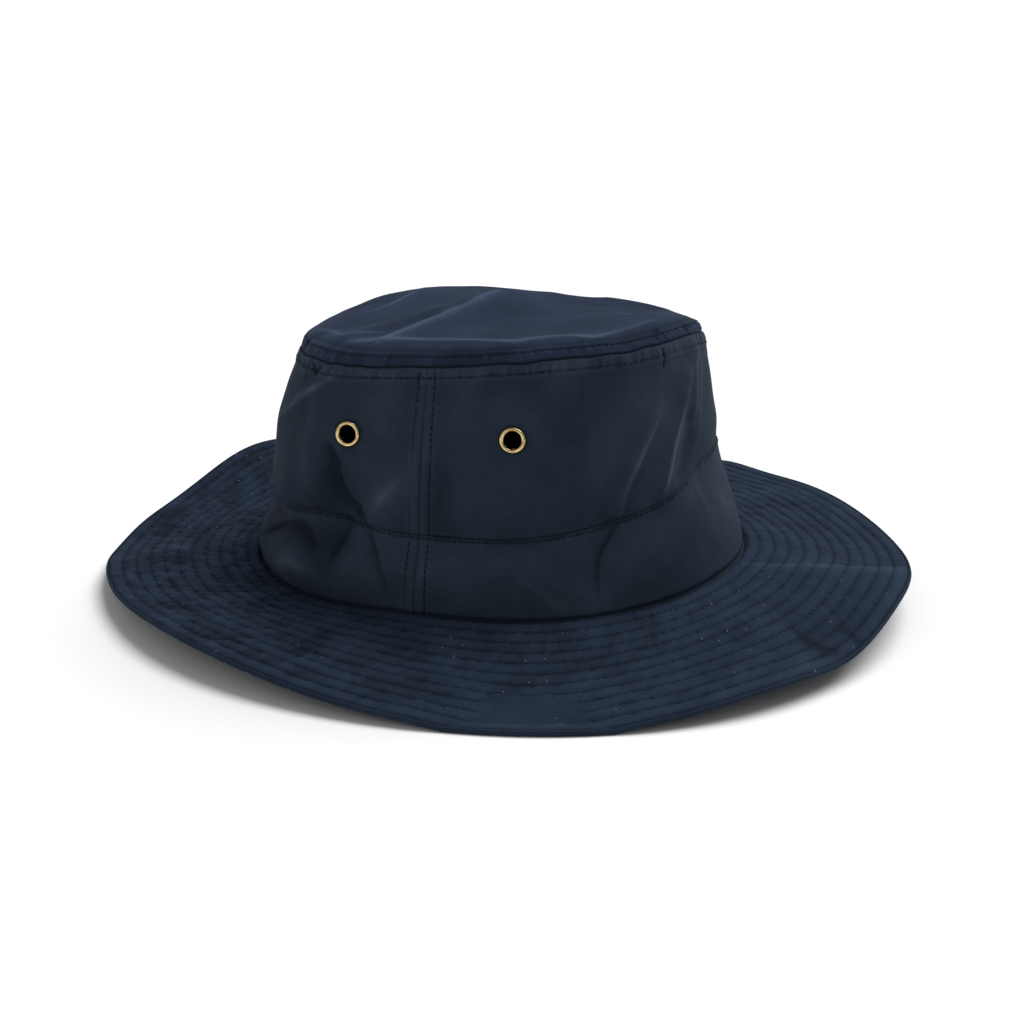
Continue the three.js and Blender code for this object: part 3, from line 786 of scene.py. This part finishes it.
def brim_crease_relief(angle, share, spread=1):
    across, outwards = angle * BRIM_UNITS[0], share * BRIM_UNITS[1]
    return creases(across, outwards, BRIM_CREASES, BRIM_UNITS, spread, 360 * BRIM_UNITS[0])


def brim_top_relief(angle, share):
    relief = quilt_relief(angle, share, QUILT_DEPTH, TOP_SEED) + brim_crease_relief(angle, share)
    last_row = row_share(STITCH_ROWS)
    hem_puff = 0.2 * smooth_step(last_row, last_row + 0.02, share)
    hem_line = -0.4 * bell((1 - HEM_SHARE - share) * BRIM_REACH, 0.4)
    joint_dip = -JOINT_DIP * bell(share * BRIM_REACH, 0.7)
    return relief + hem_puff + hem_line + joint_dip


def brim_tone(angle, share):
    """Painted shade along the rows of stitches, at the crown and over the hat's back end, and painted
    highlights on the ridges.
    """
    channel = share / (1 - HEM_SHARE) * CHANNELS
    near_row = np.abs(channel - np.round(channel)) * BRIM_REACH / CHANNELS
    ridges = CREASE_TONE * brim_crease_relief(angle, share, TONE_SPREAD)
    # Painted shade over the brim's back end
    back_shade = BACK_SHADE_TONE * bell(np.mod(angle, 360) - BACK_SHADE_ANGLE, BACK_SHADE_SPREAD)
    joint = JOINT_TONE * bell(share * BRIM_REACH, JOINT_LINE)
    return ridges - back_shade - ROW_TONE * bell(near_row, ROW_LINE) - joint


def under_rise(angle, share):
    """How far the underside rises into the brim: never below 0, so that it stays off the table."""
    return np.clip(0.25 - quilt_relief(angle, share, UNDER_QUILT_DEPTH, UNDER_SEED), 0, 0.9)


def dressed_under(angle, share):
    under = brim_point(angle, share)
    under[..., 2] += under_rise(angle, share)
    return under


WALL = Skin(wall_point, wall_relief, wall_tone)
BAND = Skin(band_point, band_relief, band_tone)
TIP = Skin(tip_point, tip_relief, tip_tone, SHARE_STEP)
BRIM = Skin(brim_top_point, brim_top_relief, brim_tone, facing=-1)
UNDER = Skin(brim_point, under_rise)


# The shift from the hat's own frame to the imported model, from the brim's lowest corner
def frame_shift():
    front = np.linspace(-SIDE_SEAM, SIDE_SEAM, HALF_TURN_POINTS)
    back = np.linspace(SIDE_SEAM, 360 - SIDE_SEAM, HALF_TURN_POINTS)
    edge = brim_point(np.concatenate([front, back]), 1.0)
    return np.array(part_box("brim")[0]) * 1000 - edge.min(axis=0)


SHIFT = frame_shift()


def to_frame(points):
    return (np.asarray(points) + SHIFT) / 1000


# Mesh making
def grid_faces(columns, rows, start, wrap_columns=False, wrap_rows=False):
    """Quads of a grid of vertices numbered column by column from start."""
    column = np.arange(columns if wrap_columns else columns - 1)[:, None]
    row = np.arange(rows if wrap_rows else rows - 1)[None, :]
    here, right = column * rows, (column + 1) % columns * rows
    above = (row + 1) % rows
    quads = np.stack(np.broadcast_arrays(here + row, right + row, right + above, here + above), axis=-1)
    return (quads.reshape(-1, 4) + start).tolist()


def strip_between(first, second):
    """Triangles that join two lines of vertices, which may have different counts."""
    triangles = []
    i = j = 0
    while i < len(first) - 1 or j < len(second) - 1:
        next_first = (i + 1) / (len(first) - 1)
        next_second = (j + 1) / (len(second) - 1)
        if j == len(second) - 1 or (i < len(first) - 1 and next_first <= next_second):
            triangles.append((first[i], first[i + 1], second[j]))
            i += 1
        else:
            triangles.append((first[i], second[j + 1], second[j]))
            j += 1
    return triangles


def make_piece(name, points, faces, material, uv=None, relief=None):
    """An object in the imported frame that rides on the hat's one body."""
    mesh = bpy.data.meshes.new(name)
    mesh.from_pydata(to_frame(points).tolist(), [], faces)
    mesh.shade_smooth()
    if uv is not None:
        corners = np.empty(len(mesh.loops), dtype=np.int32)
        mesh.loops.foreach_get("vertex_index", corners)
        layer = mesh.uv_layers.new(name="cloth")
        layer.data.foreach_set("uv", np.asarray(uv, dtype=np.float32)[corners].ravel())
    # The relief attribute carries the painted highlight and shade that the cloth's colour is worked out
    # from
    if relief is not None:
        layer = mesh.attributes.new("relief", "FLOAT", "POINT")
        layer.data.foreach_set("value", np.asarray(relief, dtype=np.float32))
    mesh.materials.append(material)
    piece = bpy.data.objects.new(name, mesh)
    bpy.context.collection.objects.link(piece)
    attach(piece, "root")
    return piece

def even_shares(length, spacing):
    """Even steps from 0 to 1 of a length, about a spacing apart."""
    return np.linspace(0, 1, max(2, round(length / spacing) + 1))


def make_panel(name, skin, from_angle, to_angle, top_share, material):
    """A crown panel: its outer skin with all its relief, its plainer inner skin, and its edges."""
    trim = math.degrees(VISIBLE_GAP / HEAD_WIDTH)
    angles = np.linspace(from_angle + trim, to_angle - trim, PANEL_COLUMNS)[:, None]
    middle = (from_angle + to_angle) / 2
    height = np.linalg.norm(skin.surface(middle, 1.0) - skin.surface(middle, 0.0))
    shares, inner_shares = (
        even_shares(height, spacing)[None, :] * top_share(angles)
        for spacing in (PANEL_SPACING, INNER_SPACING))
    out = skin.relief(angles, shares)
    outer = skin.raised(angles, shares, out)
    inner = skin.raised(angles, inner_shares, -CROWN_WALL)
    outer_index = np.arange(shares.size).reshape(shares.shape)
    inner_index = np.arange(inner_shares.size).reshape(inner_shares.shape) + shares.size
    faces = grid_faces(*shares.shape, 0)
    faces += [quad[::-1] for quad in grid_faces(*inner_shares.shape, shares.size)]
    for row, flip in ((0, False), (-1, True)):
        outer_line, inner_line = outer_index[:, row], inner_index[:, row]
        corners = (inner_line[:-1], inner_line[1:], outer_line[1:], outer_line[:-1])
        quads = np.stack(corners, axis=-1).tolist()
        faces += [quad[::-1] for quad in quads] if flip else quads
    for column, flip in ((0, False), (-1, True)):
        lines = outer_index[column].tolist(), inner_index[column].tolist()
        faces += strip_between(*(lines[::-1] if flip else lines))
    points = np.concatenate([outer.reshape(-1, 3), inner.reshape(-1, 3)])
    # Relief plus tone sets the outer skin's painted highlight and shade; the inner skin gets none
    shade = np.concatenate([(out + skin.tone(angles, shares)).ravel(), np.zeros(inner_shares.size)])
    grids = (shares, inner_shares)
    across = [np.broadcast_to(angles * MM_PER_DEGREE, grid.shape).ravel() for grid in grids]
    along = [(grid * height).ravel() for grid in grids]
    uv = np.stack([np.concatenate(across), np.concatenate(along)], axis=-1)
    return make_piece(name, points, faces, material, uv, shade)


def full_height(angle):
    return np.ones_like(angle)


def below_band_seam(angle):
    return 1 - VISIBLE_GAP / band_height(angle)


def disc_grid(count):
    """A square grid pressed into the unit circle, a little denser near the rim."""
    line = np.linspace(-1, 1, count)
    line = 1.12 * line - 0.12 * line**3
    u, v = np.meshgrid(line, line, indexing="ij")
    return u * np.sqrt(1 - v**2 / 2), v * np.sqrt(1 - u**2 / 2)


def disc_rim(count, start):
    """The vertices round a disc grid, against the clock, as a closed line."""
    index = np.arange(count * count).reshape(count, count) + start
    sides = [index[:-1, 0], index[-1, :-1], index[:0:-1, -1], index[0, :0:-1]]
    return np.concatenate(sides).tolist()


def make_tip(material):
    u, v = disc_grid(TIP_COUNT)
    inner_u, inner_v = disc_grid(TIP_INNER_COUNT)
    out = tip_relief(u, v)
    outer = TIP.raised(u, v, out)
    inner = TIP.raised(inner_u, inner_v, -CROWN_WALL)
    faces = grid_faces(TIP_COUNT, TIP_COUNT, 0)
    faces += [quad[::-1] for quad in grid_faces(TIP_INNER_COUNT, TIP_INNER_COUNT, u.size)]
    outer_rim = disc_rim(TIP_COUNT, 0)
    inner_rim = disc_rim(TIP_INNER_COUNT, u.size)
    faces += strip_between(inner_rim + inner_rim[:1], outer_rim + outer_rim[:1])
    points = np.concatenate([outer.reshape(-1, 3), inner.reshape(-1, 3)])
    # Relief plus tone sets the outer skin's painted highlight and shade; the inner skin gets none
    shade = np.concatenate([(out + tip_tone(u, v)).ravel(), np.zeros(inner_u.size)])
    piece = make_piece("crown_tip_cloth", points, faces, material, points[:, :2], shade)
    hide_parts("crown_tip")
    return piece


def channel_shares(places):
    """Shares of the reach from the crown to the hem, with the same places in every channel."""
    shares = [row_share(channel + place) for channel in range(CHANNELS) for place in places]
    return [*shares, 1 - HEM_SHARE]


def hem_turn(angle, turn):
    """A point on the round edge of the brim, turned from its underside (-90) to its top (90)."""
    reach = (1 - HEM_SHARE) + HEM_SHARE * math.cos(math.radians(turn))
    up = BRIM_WALL / 2 * (1 + math.sin(math.radians(turn)))
    return brim_point(angle, reach, up + 0.25 * smooth_step(-20, 90, turn))


def make_ring(name, loops, shade, material):
    """A layer of the brim, closed round the hat and round its own section."""
    points = loops.reshape(-1, 3)
    faces = grid_faces(*loops.shape[:2], 0, True, True)
    return make_piece(name, points, faces, material, points[:, :2], shade.ravel())


def make_brim_top(material):
    """The brim's upper layer, which turns round the edge and shows all the quilting."""
    angles = np.linspace(0, 360, BRIM_COLUMNS, endpoint=False)
    lead = [brim_point(angles, share, BRIM_WALL / 2) for share in (0, 0.5, 0.97)]
    lead += [hem_turn(angles, turn) for turn in EDGE_TURNS]
    place = (angles[:, None], np.array(channel_shares(TOP_PLACES))[None, ::-1])
    out = brim_top_relief(*place)
    loops = np.concatenate([np.stack(lead, axis=1), BRIM.raised(*place, out)], axis=1)
    # Relief plus tone sets the painted highlight on the puffs and ridges and the painted shade at the rows;
    # the lead-in gets none
    shade = np.concatenate([np.zeros((BRIM_COLUMNS, len(lead))), out + brim_tone(*place)], axis=1)
    return make_ring("brim_top_cloth", loops, shade, material)


def make_brim_under(material):
    """The brim's lower layer, which lies on the table where the edge dips."""
    angles = np.linspace(0, 360, UNDER_COLUMNS, endpoint=False)
    shares = np.array([share for share in channel_shares(UNDER_PLACES) if share < 0.98])
    place = (angles[:, None], shares[None, :])
    hidden = [brim_point(angles, share, BRIM_WALL / 2 - LAYER_GAP) for share in (0.975, 0.5, 0)]
    loops = np.concatenate([dressed_under(*place), np.stack(hidden, axis=1)], axis=1)
    # The underside is painted darker where it rises into the brim: painted shade in its hollows
    shade = np.concatenate([-under_rise(*place), np.zeros((UNDER_COLUMNS, len(hidden)))], axis=1)
    return make_ring("brim_under_cloth", loops, shade, material)


# Stitches
def stitch_shape():
    """One stitch along X as a slim grain with pointed ends: its points and faces."""
    points = [(-1, 0, 0)]
    for along in (-0.6, 0.6):
        for side in range(STITCH_SIDES):
            turn = 2 * math.pi * side / STITCH_SIDES + math.pi / 2
            points.append((along, 0.85 * math.cos(turn), 0.85 * math.sin(turn)))
    points.append((1, 0, 0))
    faces = []
    for side in range(STITCH_SIDES):
        a, b = 1 + side, 1 + (side + 1) % STITCH_SIDES
        faces.append((0, b, a))
        faces.append((a, b, b + STITCH_SIDES, a + STITCH_SIDES))
        faces.append((a + STITCH_SIDES, b + STITCH_SIDES, len(points) - 1))
    return np.array(points, dtype=float), faces


def stitch_frames(line, normal, seed):
    """Places and axes for stitches at an even pitch along a line of points."""
    lengths = np.concatenate([[0], np.cumsum(np.linalg.norm(np.diff(line, axis=0), axis=1))])
    count = round(lengths[-1] / STITCH_PITCH)
    middles = (np.arange(count) + 0.5) * lengths[-1] / count

    def along(values, at):
        return np.stack([np.interp(at, lengths, values[:, axis]) for axis in range(3)], axis=-1)

    random = np.random.default_rng(seed)
    forward = along(line, middles + 0.5) - along(line, middles - 0.5)
    forward /= np.linalg.norm(forward, axis=1, keepdims=True)
    sideways = np.cross(along(normal, middles), forward)
    sideways /= np.linalg.norm(sideways, axis=1, keepdims=True)
    up = np.cross(forward, sideways)
    forward = forward + sideways * random.uniform(-STITCH_SWAY, STITCH_SWAY, (count, 1))
    size = random.uniform(*STITCH_SIZES, (count, 1))
    shift = random.uniform(-STITCH_SWAY, STITCH_SWAY, (count, 1))
    return along(line, middles) + sideways * shift, forward * size, sideways, up


def make_stitches(name, rows, material, width, lift=0):
    """All stitches of several rows as one piece. A row is a line of points and their normals."""
    shape, shape_faces = stitch_shape()
    points, faces = [], []
    for number, (line, normal) in enumerate(rows):
        middle, forward, sideways, up = stitch_frames(line, normal, STITCH_SEED + number)
        middle = middle + up * lift
        placed = middle[:, None, :]
        for axis, (way, size) in enumerate(((forward, STITCH_LENGTH), (sideways, width), (up, width))):
            placed = placed + shape[None, :, axis, None] * (way * (size / 2))[:, None, :]
        points.append(placed.reshape(-1, 3))
    points = np.concatenate(points)
    for start in range(0, len(points), len(shape)):
        faces += [tuple(corner + start for corner in face) for face in shape_faces]
    make_piece(name, points, faces, material)


def brim_stitch_rows(line_at, normal_at):
    """The rows of quilting on one side of the brim."""
    angles = np.linspace(0, 360, LINE_POINTS)
    lines = [np.full_like(angles, row_share(row)) for row in range(1, STITCH_ROWS + 1)]
    return [(line_at(angles, shares), normal_at(angles, shares)) for shares in lines]


def crown_stitch_rows():
    """Topstitches beside the tip seam and the side seams, and the row below the band seam."""
    angles = np.linspace(0, 360, LINE_POINTS)
    shares, distances = tip_profile()
    share = np.interp(TOPSTITCH_SET_IN, distances, shares)
    rows = [
        (TIP, share * np.cos(np.radians(angles)), share * np.sin(np.radians(angles))),
        (WALL, angles, 1 - TOPSTITCH_SET_IN / wall_height(angles)),
        (BAND, angles, 1 - BAND_STITCH_SET_IN / band_height(angles)),
    ]
    offset = TOPSTITCH_SET_IN / math.radians(HEAD_LENGTH / 2)
    for seam in (SIDE_SEAM, -SIDE_SEAM):
        for side in (-offset, offset):
            for skin, low, high, count in ((WALL, 0.01, 0.97, 300), (BAND, 0.1, 0.92, 200)):
                rows.append((skin, np.full(count, seam + side), np.linspace(low, high, count)))
    return [(skin.dressed(a, b), skin.normal(a, b)) for skin, a, b in rows]


# Vent eyelets
def eyelet_outline():
    """Radius and height round an eyelet's section, from the washer up the bore and down outside."""
    low = -CROWN_WALL - WASHER_GAP - EYELET_WASHER
    washer_top = -CROWN_WALL - WASHER_GAP
    barrel = EYELET_BORE + EYELET_BARREL
    outline = [(EYELET_FLANGE, washer_top - 0.1), (EYELET_FLANGE, low + 0.1), (EYELET_FLANGE - 0.1, low)]
    outline += [(EYELET_BORE + 0.3, low), (EYELET_BORE, low + 0.3)]
    middle = (EYELET_BORE + EYELET_FLANGE) / 2
    half = (EYELET_FLANGE - EYELET_BORE) / 2
    for turn in range(180, -31, -15):
        x, y = math.cos(math.radians(turn)), math.sin(math.radians(turn))
        outline.append((middle + half * x, SEAM_GAP + 0.15 + (EYELET_ROLL - 0.15) * max(y, -0.3)))
    outline += [(EYELET_FLANGE - 0.35, SEAM_GAP - 0.1), (barrel, SEAM_GAP - 0.1)]
    outline += [(barrel, washer_top), (EYELET_FLANGE - 0.1, washer_top)]
    return outline


def make_eyelet(name, angle, material):
    outline = np.array(eyelet_outline())
    point = wall_point(angle, EYELET_HEIGHT)
    sideways, upwards = 3, 0.08
    across = wall_point(angle + sideways, EYELET_HEIGHT) - wall_point(angle - sideways, EYELET_HEIGHT)
    rise = wall_point(angle, EYELET_HEIGHT + upwards) - wall_point(angle, EYELET_HEIGHT - upwards)
    normal = np.cross(across, rise)
    normal /= np.linalg.norm(normal)
    first = across / np.linalg.norm(across)
    second = np.cross(normal, first)
    turns = np.radians(np.arange(EYELET_SIDES) * 360 / EYELET_SIDES)[:, None, None]
    radius, height = outline[None, :, :1], outline[None, :, 1:]
    points = point + radius * (np.cos(turns) * first + np.sin(turns) * second) + height * normal
    faces = [face[::-1] for face in grid_faces(EYELET_SIDES, len(outline), 0, True, True)]
    piece = make_piece(f"{name}_ring", points.reshape(-1, 3), faces, material)
    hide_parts(name)


def cut_eyelet_holes(panel, end):
    """Holes through a side panel, hidden under the eyelets' flanges."""
    radius = EYELET_BORE + EYELET_BARREL + SEAM_GAP
    for name, angle in eyelet_angles().items():
        if not name.endswith(end):
            continue
        point = wall_point(angle, EYELET_HEIGHT)
        normal = WALL.normal(np.array([angle]), np.array([EYELET_HEIGHT]))[0]
        bpy.ops.mesh.primitive_cylinder_add(vertices=48, radius=radius / 1000, depth=0.012)
        cutter = bpy.context.object
        cutter.rotation_mode = "QUATERNION"
        cutter.rotation_quaternion = Vector(normal).to_track_quat("Z", "Y")
        cutter.location = to_frame(point)
        hole = panel.modifiers.new("eyelet_hole", "BOOLEAN")
        hole.object = cutter
        hole.operation = "DIFFERENCE"
        hole.solver = "MANIFOLD"
        bpy.context.view_layer.update()
        graph = bpy.context.evaluated_depsgraph_get()
        mesh = bpy.data.meshes.new_from_object(panel.evaluated_get(graph))
        panel.modifiers.remove(hole)
        panel.data = mesh
        bpy.data.objects.remove(cutter)


# Materials
def put(socket, value):
    """Gives a socket a value, or a link from another node's output."""
    if isinstance(value, bpy.types.NodeSocket):
        socket.id_data.links.new(value, socket)
    else:
        socket.default_value = value


def set_up(node, settings):
    """Sets a node's properties and sockets by their names."""
    for name, value in settings.items():
        if name in node.inputs:
            put(node.inputs[name], value)
        else:
            setattr(node, name, value)


def add_node(tree, kind, **settings):
    node = tree.nodes.new(f"ShaderNode{kind}")
    set_up(node, settings)
    return node


def new_material(name, settings):
    """A material, its node tree and its shader, whose sockets are set."""
    material = bpy.data.materials.new(name)
    material.use_nodes = True
    shader = material.node_tree.nodes["Principled BSDF"]
    set_up(shader, settings)
    return material, material.node_tree, shader


def colour_ramp(tree, share, *stops):
    """The colour at a share of the way through some stops."""
    ramp = add_node(tree, "ValToRGB", Fac=share)
    while len(ramp.color_ramp.elements) < len(stops):
        ramp.color_ramp.elements.new(0.5)
    for element, (position, colour) in zip(ramp.color_ramp.elements, stops):
        element.position = position
        element.color = (*colour, 1)
    return ramp.outputs["Color"]


def calculate(tree, operation, *values):
    """The result of a sum over numbers and other nodes' outputs."""
    node = add_node(tree, "Math", operation=operation)
    for socket, value in zip(node.inputs, values):
        put(socket, value)
    return node.outputs[0]


def finish_material(tree, shader, colour, height, strength, distance):
    """Gives the shader its colour, and a fine bump of the given height."""
    bump = add_node(tree, "Bump", Strength=strength, Distance=distance, Height=height)
    set_up(shader, {"Base Color": colour, "Normal": bump.outputs["Normal"]})


def cloth_material(name, dark, light, sheen, speck_share):
    """Smooth navy microfibre: a fine twill, a peached grain, soft mottling, painted shade at seams,
    rows and hollows, painted highlights on ridges and raised cloth, and pale specks in the given share of
    its speck cells."""
    material, tree, shader = new_material(name, {
        "Roughness": 0.7, "Specular IOR Level": 0.015, "Specular Tint": SHINE_TINT,
        "Sheen Weight": sheen, "Sheen Roughness": 0.4, "Sheen Tint": SHEEN_TINT})
    place = add_node(tree, "UVMap", uv_map="cloth").outputs["UV"]
    twill = add_node(tree, "TexWave", Scale=0.42, Distortion=0.6, bands_direction="DIAGONAL", Vector=place)
    grain = add_node(tree, "TexNoise", Scale=2.2, Detail=3.0, Roughness=0.6, Vector=place).outputs["Fac"]
    mottle = add_node(tree, "TexNoise", Scale=0.05, Detail=5.0, Roughness=0.65, Vector=place)
    # The relief attribute holds each skin's relief plus its tone: added to the shade, it paints highlights
    # on raised cloth and ridges and shade in hollows, seams and rows
    relief = add_node(tree, "Attribute", attribute_name="relief")
    shade = calculate(tree, "MULTIPLY", mottle.outputs["Fac"], 0.5)
    shade = calculate(tree, "MULTIPLY_ADD", grain, 0.3, shade)
    shade = calculate(tree, "MULTIPLY_ADD", relief.outputs["Fac"], 0.3, shade)
    # The ramp's third stop is a painted highlight for ridges and raised cloth
    ridge = tuple(gain * part for gain, part in zip(RIDGE_GAIN, light))
    cloth = colour_ramp(tree, shade, (0.15, dark), (0.65, light), (1.0, ridge))
    # Pale specks of SPECK_COLOUR in a share of the Voronoi cells
    specks = add_node(tree, "TexVoronoi", Scale=SPECK_CELLS, voronoi_dimensions="2D", Vector=place)
    small = calculate(tree, "LESS_THAN", specks.outputs["Distance"], SPECK_RADIUS * SPECK_CELLS)
    chance = add_node(tree, "SeparateColor", Color=specks.outputs["Color"]).outputs["Red"]
    speck = calculate(tree, "MULTIPLY", small, calculate(tree, "LESS_THAN", chance, speck_share))
    specked = add_node(tree, "MixRGB", Fac=speck, Color1=cloth, Color2=SPECK_COLOUR)
    texture = calculate(tree, "ADD", calculate(tree, "MULTIPLY", twill.outputs["Fac"], 0.12), grain)
    finish_material(tree, shader, specked.outputs["Color"], texture, 0.35, 0.00012)
    return material


def thread_material(name, dark, light):
    """Navy thread with a slight sheen and a fine twist."""
    settings = {"Roughness": 0.6, "Specular IOR Level": 0.2, "Specular Tint": SHINE_TINT}
    material, tree, shader = new_material(name, settings)
    place = add_node(tree, "TexCoord").outputs["Object"]
    fibre = add_node(tree, "TexNoise", Scale=900.0, Detail=3.0, Vector=place).outputs["Fac"]
    colour = colour_ramp(tree, fibre, (0.3, dark), (0.7, light))
    finish_material(tree, shader, colour, fibre, 0.4, 0.0001)
    return material


def brass_material():
    """Warm antique brass with duller, darker patches and fine wear."""
    material, tree, shader = new_material("antique_brass", {"Metallic": 1})
    place = add_node(tree, "TexCoord").outputs["Object"]
    patina = add_node(tree, "TexNoise", Scale=320.0, Detail=6.0, Roughness=0.6, Vector=place).outputs["Fac"]
    colour = colour_ramp(tree, patina, (0.32, (0.38, 0.26, 0.11)), (0.62, (0.82, 0.62, 0.32)))
    put(shader.inputs["Roughness"], calculate(tree, "MULTIPLY_ADD", patina, -0.25, 0.37))
    finish_material(tree, shader, colour, patina, 0.25, 0.0001)
    return material


# Assembly of the hat
def dress_crown():
    # The sides, tip and brim are one fabric: their colours differ as painted light, each set for how the
    # light falls on that part
    side = cloth_material("side_cloth", (0.0105, 0.0158, 0.0247), (0.0321, 0.0441, 0.0643), 0.04, 0.0)
    tip = cloth_material("tip_cloth", (0.0098, 0.0145, 0.0246), (0.025, 0.0362, 0.066), 0.07, 0.01)
    ends = {"front": (-SIDE_SEAM, SIDE_SEAM), "back": (SIDE_SEAM, 360 - SIDE_SEAM)}
    for end, angles in ends.items():
        upper = make_panel(f"crown_upper_{end}_cloth", WALL, *angles, full_height, side)
        cut_eyelet_holes(upper, end)
        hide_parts(f"crown_upper_{end}")
        band = make_panel(f"crown_band_{end}_cloth", BAND, *angles, below_band_seam, side)
        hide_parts(f"crown_band_{end}")
    top = make_tip(tip)


def dress_brim():
    # Same fabric as the crown: the brim's colours differ from the crown's as painted light
    cloth = cloth_material("brim_cloth", (0.0088, 0.0134, 0.0223), (0.0264, 0.0403, 0.068), 0.04, 0.09)
    for piece in (make_brim_top(cloth), make_brim_under(cloth)):
        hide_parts("brim")


def dress_trim():
    # Both threads are coloured darker than the cloth they sew, the crown's darker still: painted shade of
    # the stitches' needle holes
    thread = thread_material("brim_thread", (0.006, 0.009, 0.015), (0.014, 0.021, 0.034))
    dark_thread = thread_material("crown_thread", (0.003, 0.005, 0.009), (0.009, 0.014, 0.023))
    brass = brass_material()
    top_rows = brim_stitch_rows(BRIM.dressed, BRIM.normal)
    under_rows = brim_stitch_rows(dressed_under, UNDER.normal)
    crown_rows = crown_stitch_rows()
    make_stitches("brim_top_stitches", top_rows, thread, THREAD_WIDTH)
    make_stitches("brim_under_stitches", under_rows, thread, THREAD_WIDTH)
    make_stitches("crown_stitches", crown_rows, dark_thread, CROWN_THREAD_WIDTH, STITCH_LIFT)
    for name, angle in eyelet_angles().items():
        make_eyelet(name, angle, brass)


# Studio
def make_studio():
    bpy.ops.mesh.primitive_circle_add(vertices=96, radius=FLOOR_RADIUS, fill_type="NGON")
    floor = bpy.context.object
    floor.name = "studio_floor"
    paper = {"Base Color": (0.9, 0.9, 0.9, 1), "Roughness": 0.9}
    floor.data.materials.append(new_material("pale_floor", paper)[0])
    world = bpy.context.scene.world or bpy.data.worlds.new("studio")
    bpy.context.scene.world = world
    world.use_nodes = True
    background = world.node_tree.nodes["Background"]
    set_up(background, {"Color": (1, 1, 1, 1), "Strength": FILL_STRENGTH})
    make_softbox("overhead_softbox", KEY_STRENGTH, KEY_SPREAD, KEY_TOWARDS)
    make_softbox("front_softbox", FRONT_STRENGTH, FRONT_SPREAD, FRONT_TOWARDS)


def make_softbox(name, strength, spread, towards):
    """A broad soft light that shines from the direction given."""
    light = bpy.data.lights.new(name, "SUN")
    light.angle = math.radians(spread)
    light.energy = strength
    lamp = bpy.data.objects.new(name, light)
    lamp.rotation_mode = "QUATERNION"
    lamp.rotation_quaternion = Vector(towards).to_track_quat("Z", "Y")
    bpy.context.collection.objects.link(lamp)


def make_camera():
    azimuth, elevation = math.radians(CAMERA_AZIMUTH), math.radians(CAMERA_ELEVATION)
    back = np.array([
        math.sin(azimuth) * math.cos(elevation),
        -math.cos(azimuth) * math.cos(elevation),
        math.sin(elevation),
    ])
    camera = bpy.data.cameras.new("camera")
    camera.sensor_width = SENSOR_MM
    camera.lens = PIXELS_PER_MM * CAMERA_DISTANCE * SENSOR_MM / IMAGE_PIXELS
    camera.clip_end = 50
    view = bpy.data.objects.new("camera", camera)
    view.location = to_frame(np.array(CAMERA_TARGET) + back * CAMERA_DISTANCE)
    view.rotation_mode = "QUATERNION"
    view.rotation_quaternion = Vector(-back).to_track_quat("-Z", "Y")
    bpy.context.collection.objects.link(view)
    bpy.context.scene.camera = view


make_camera()
make_studio()
dress_crown()
dress_brim()
dress_trim()
bpy.context.scene.view_settings.view_transform = "Standard"
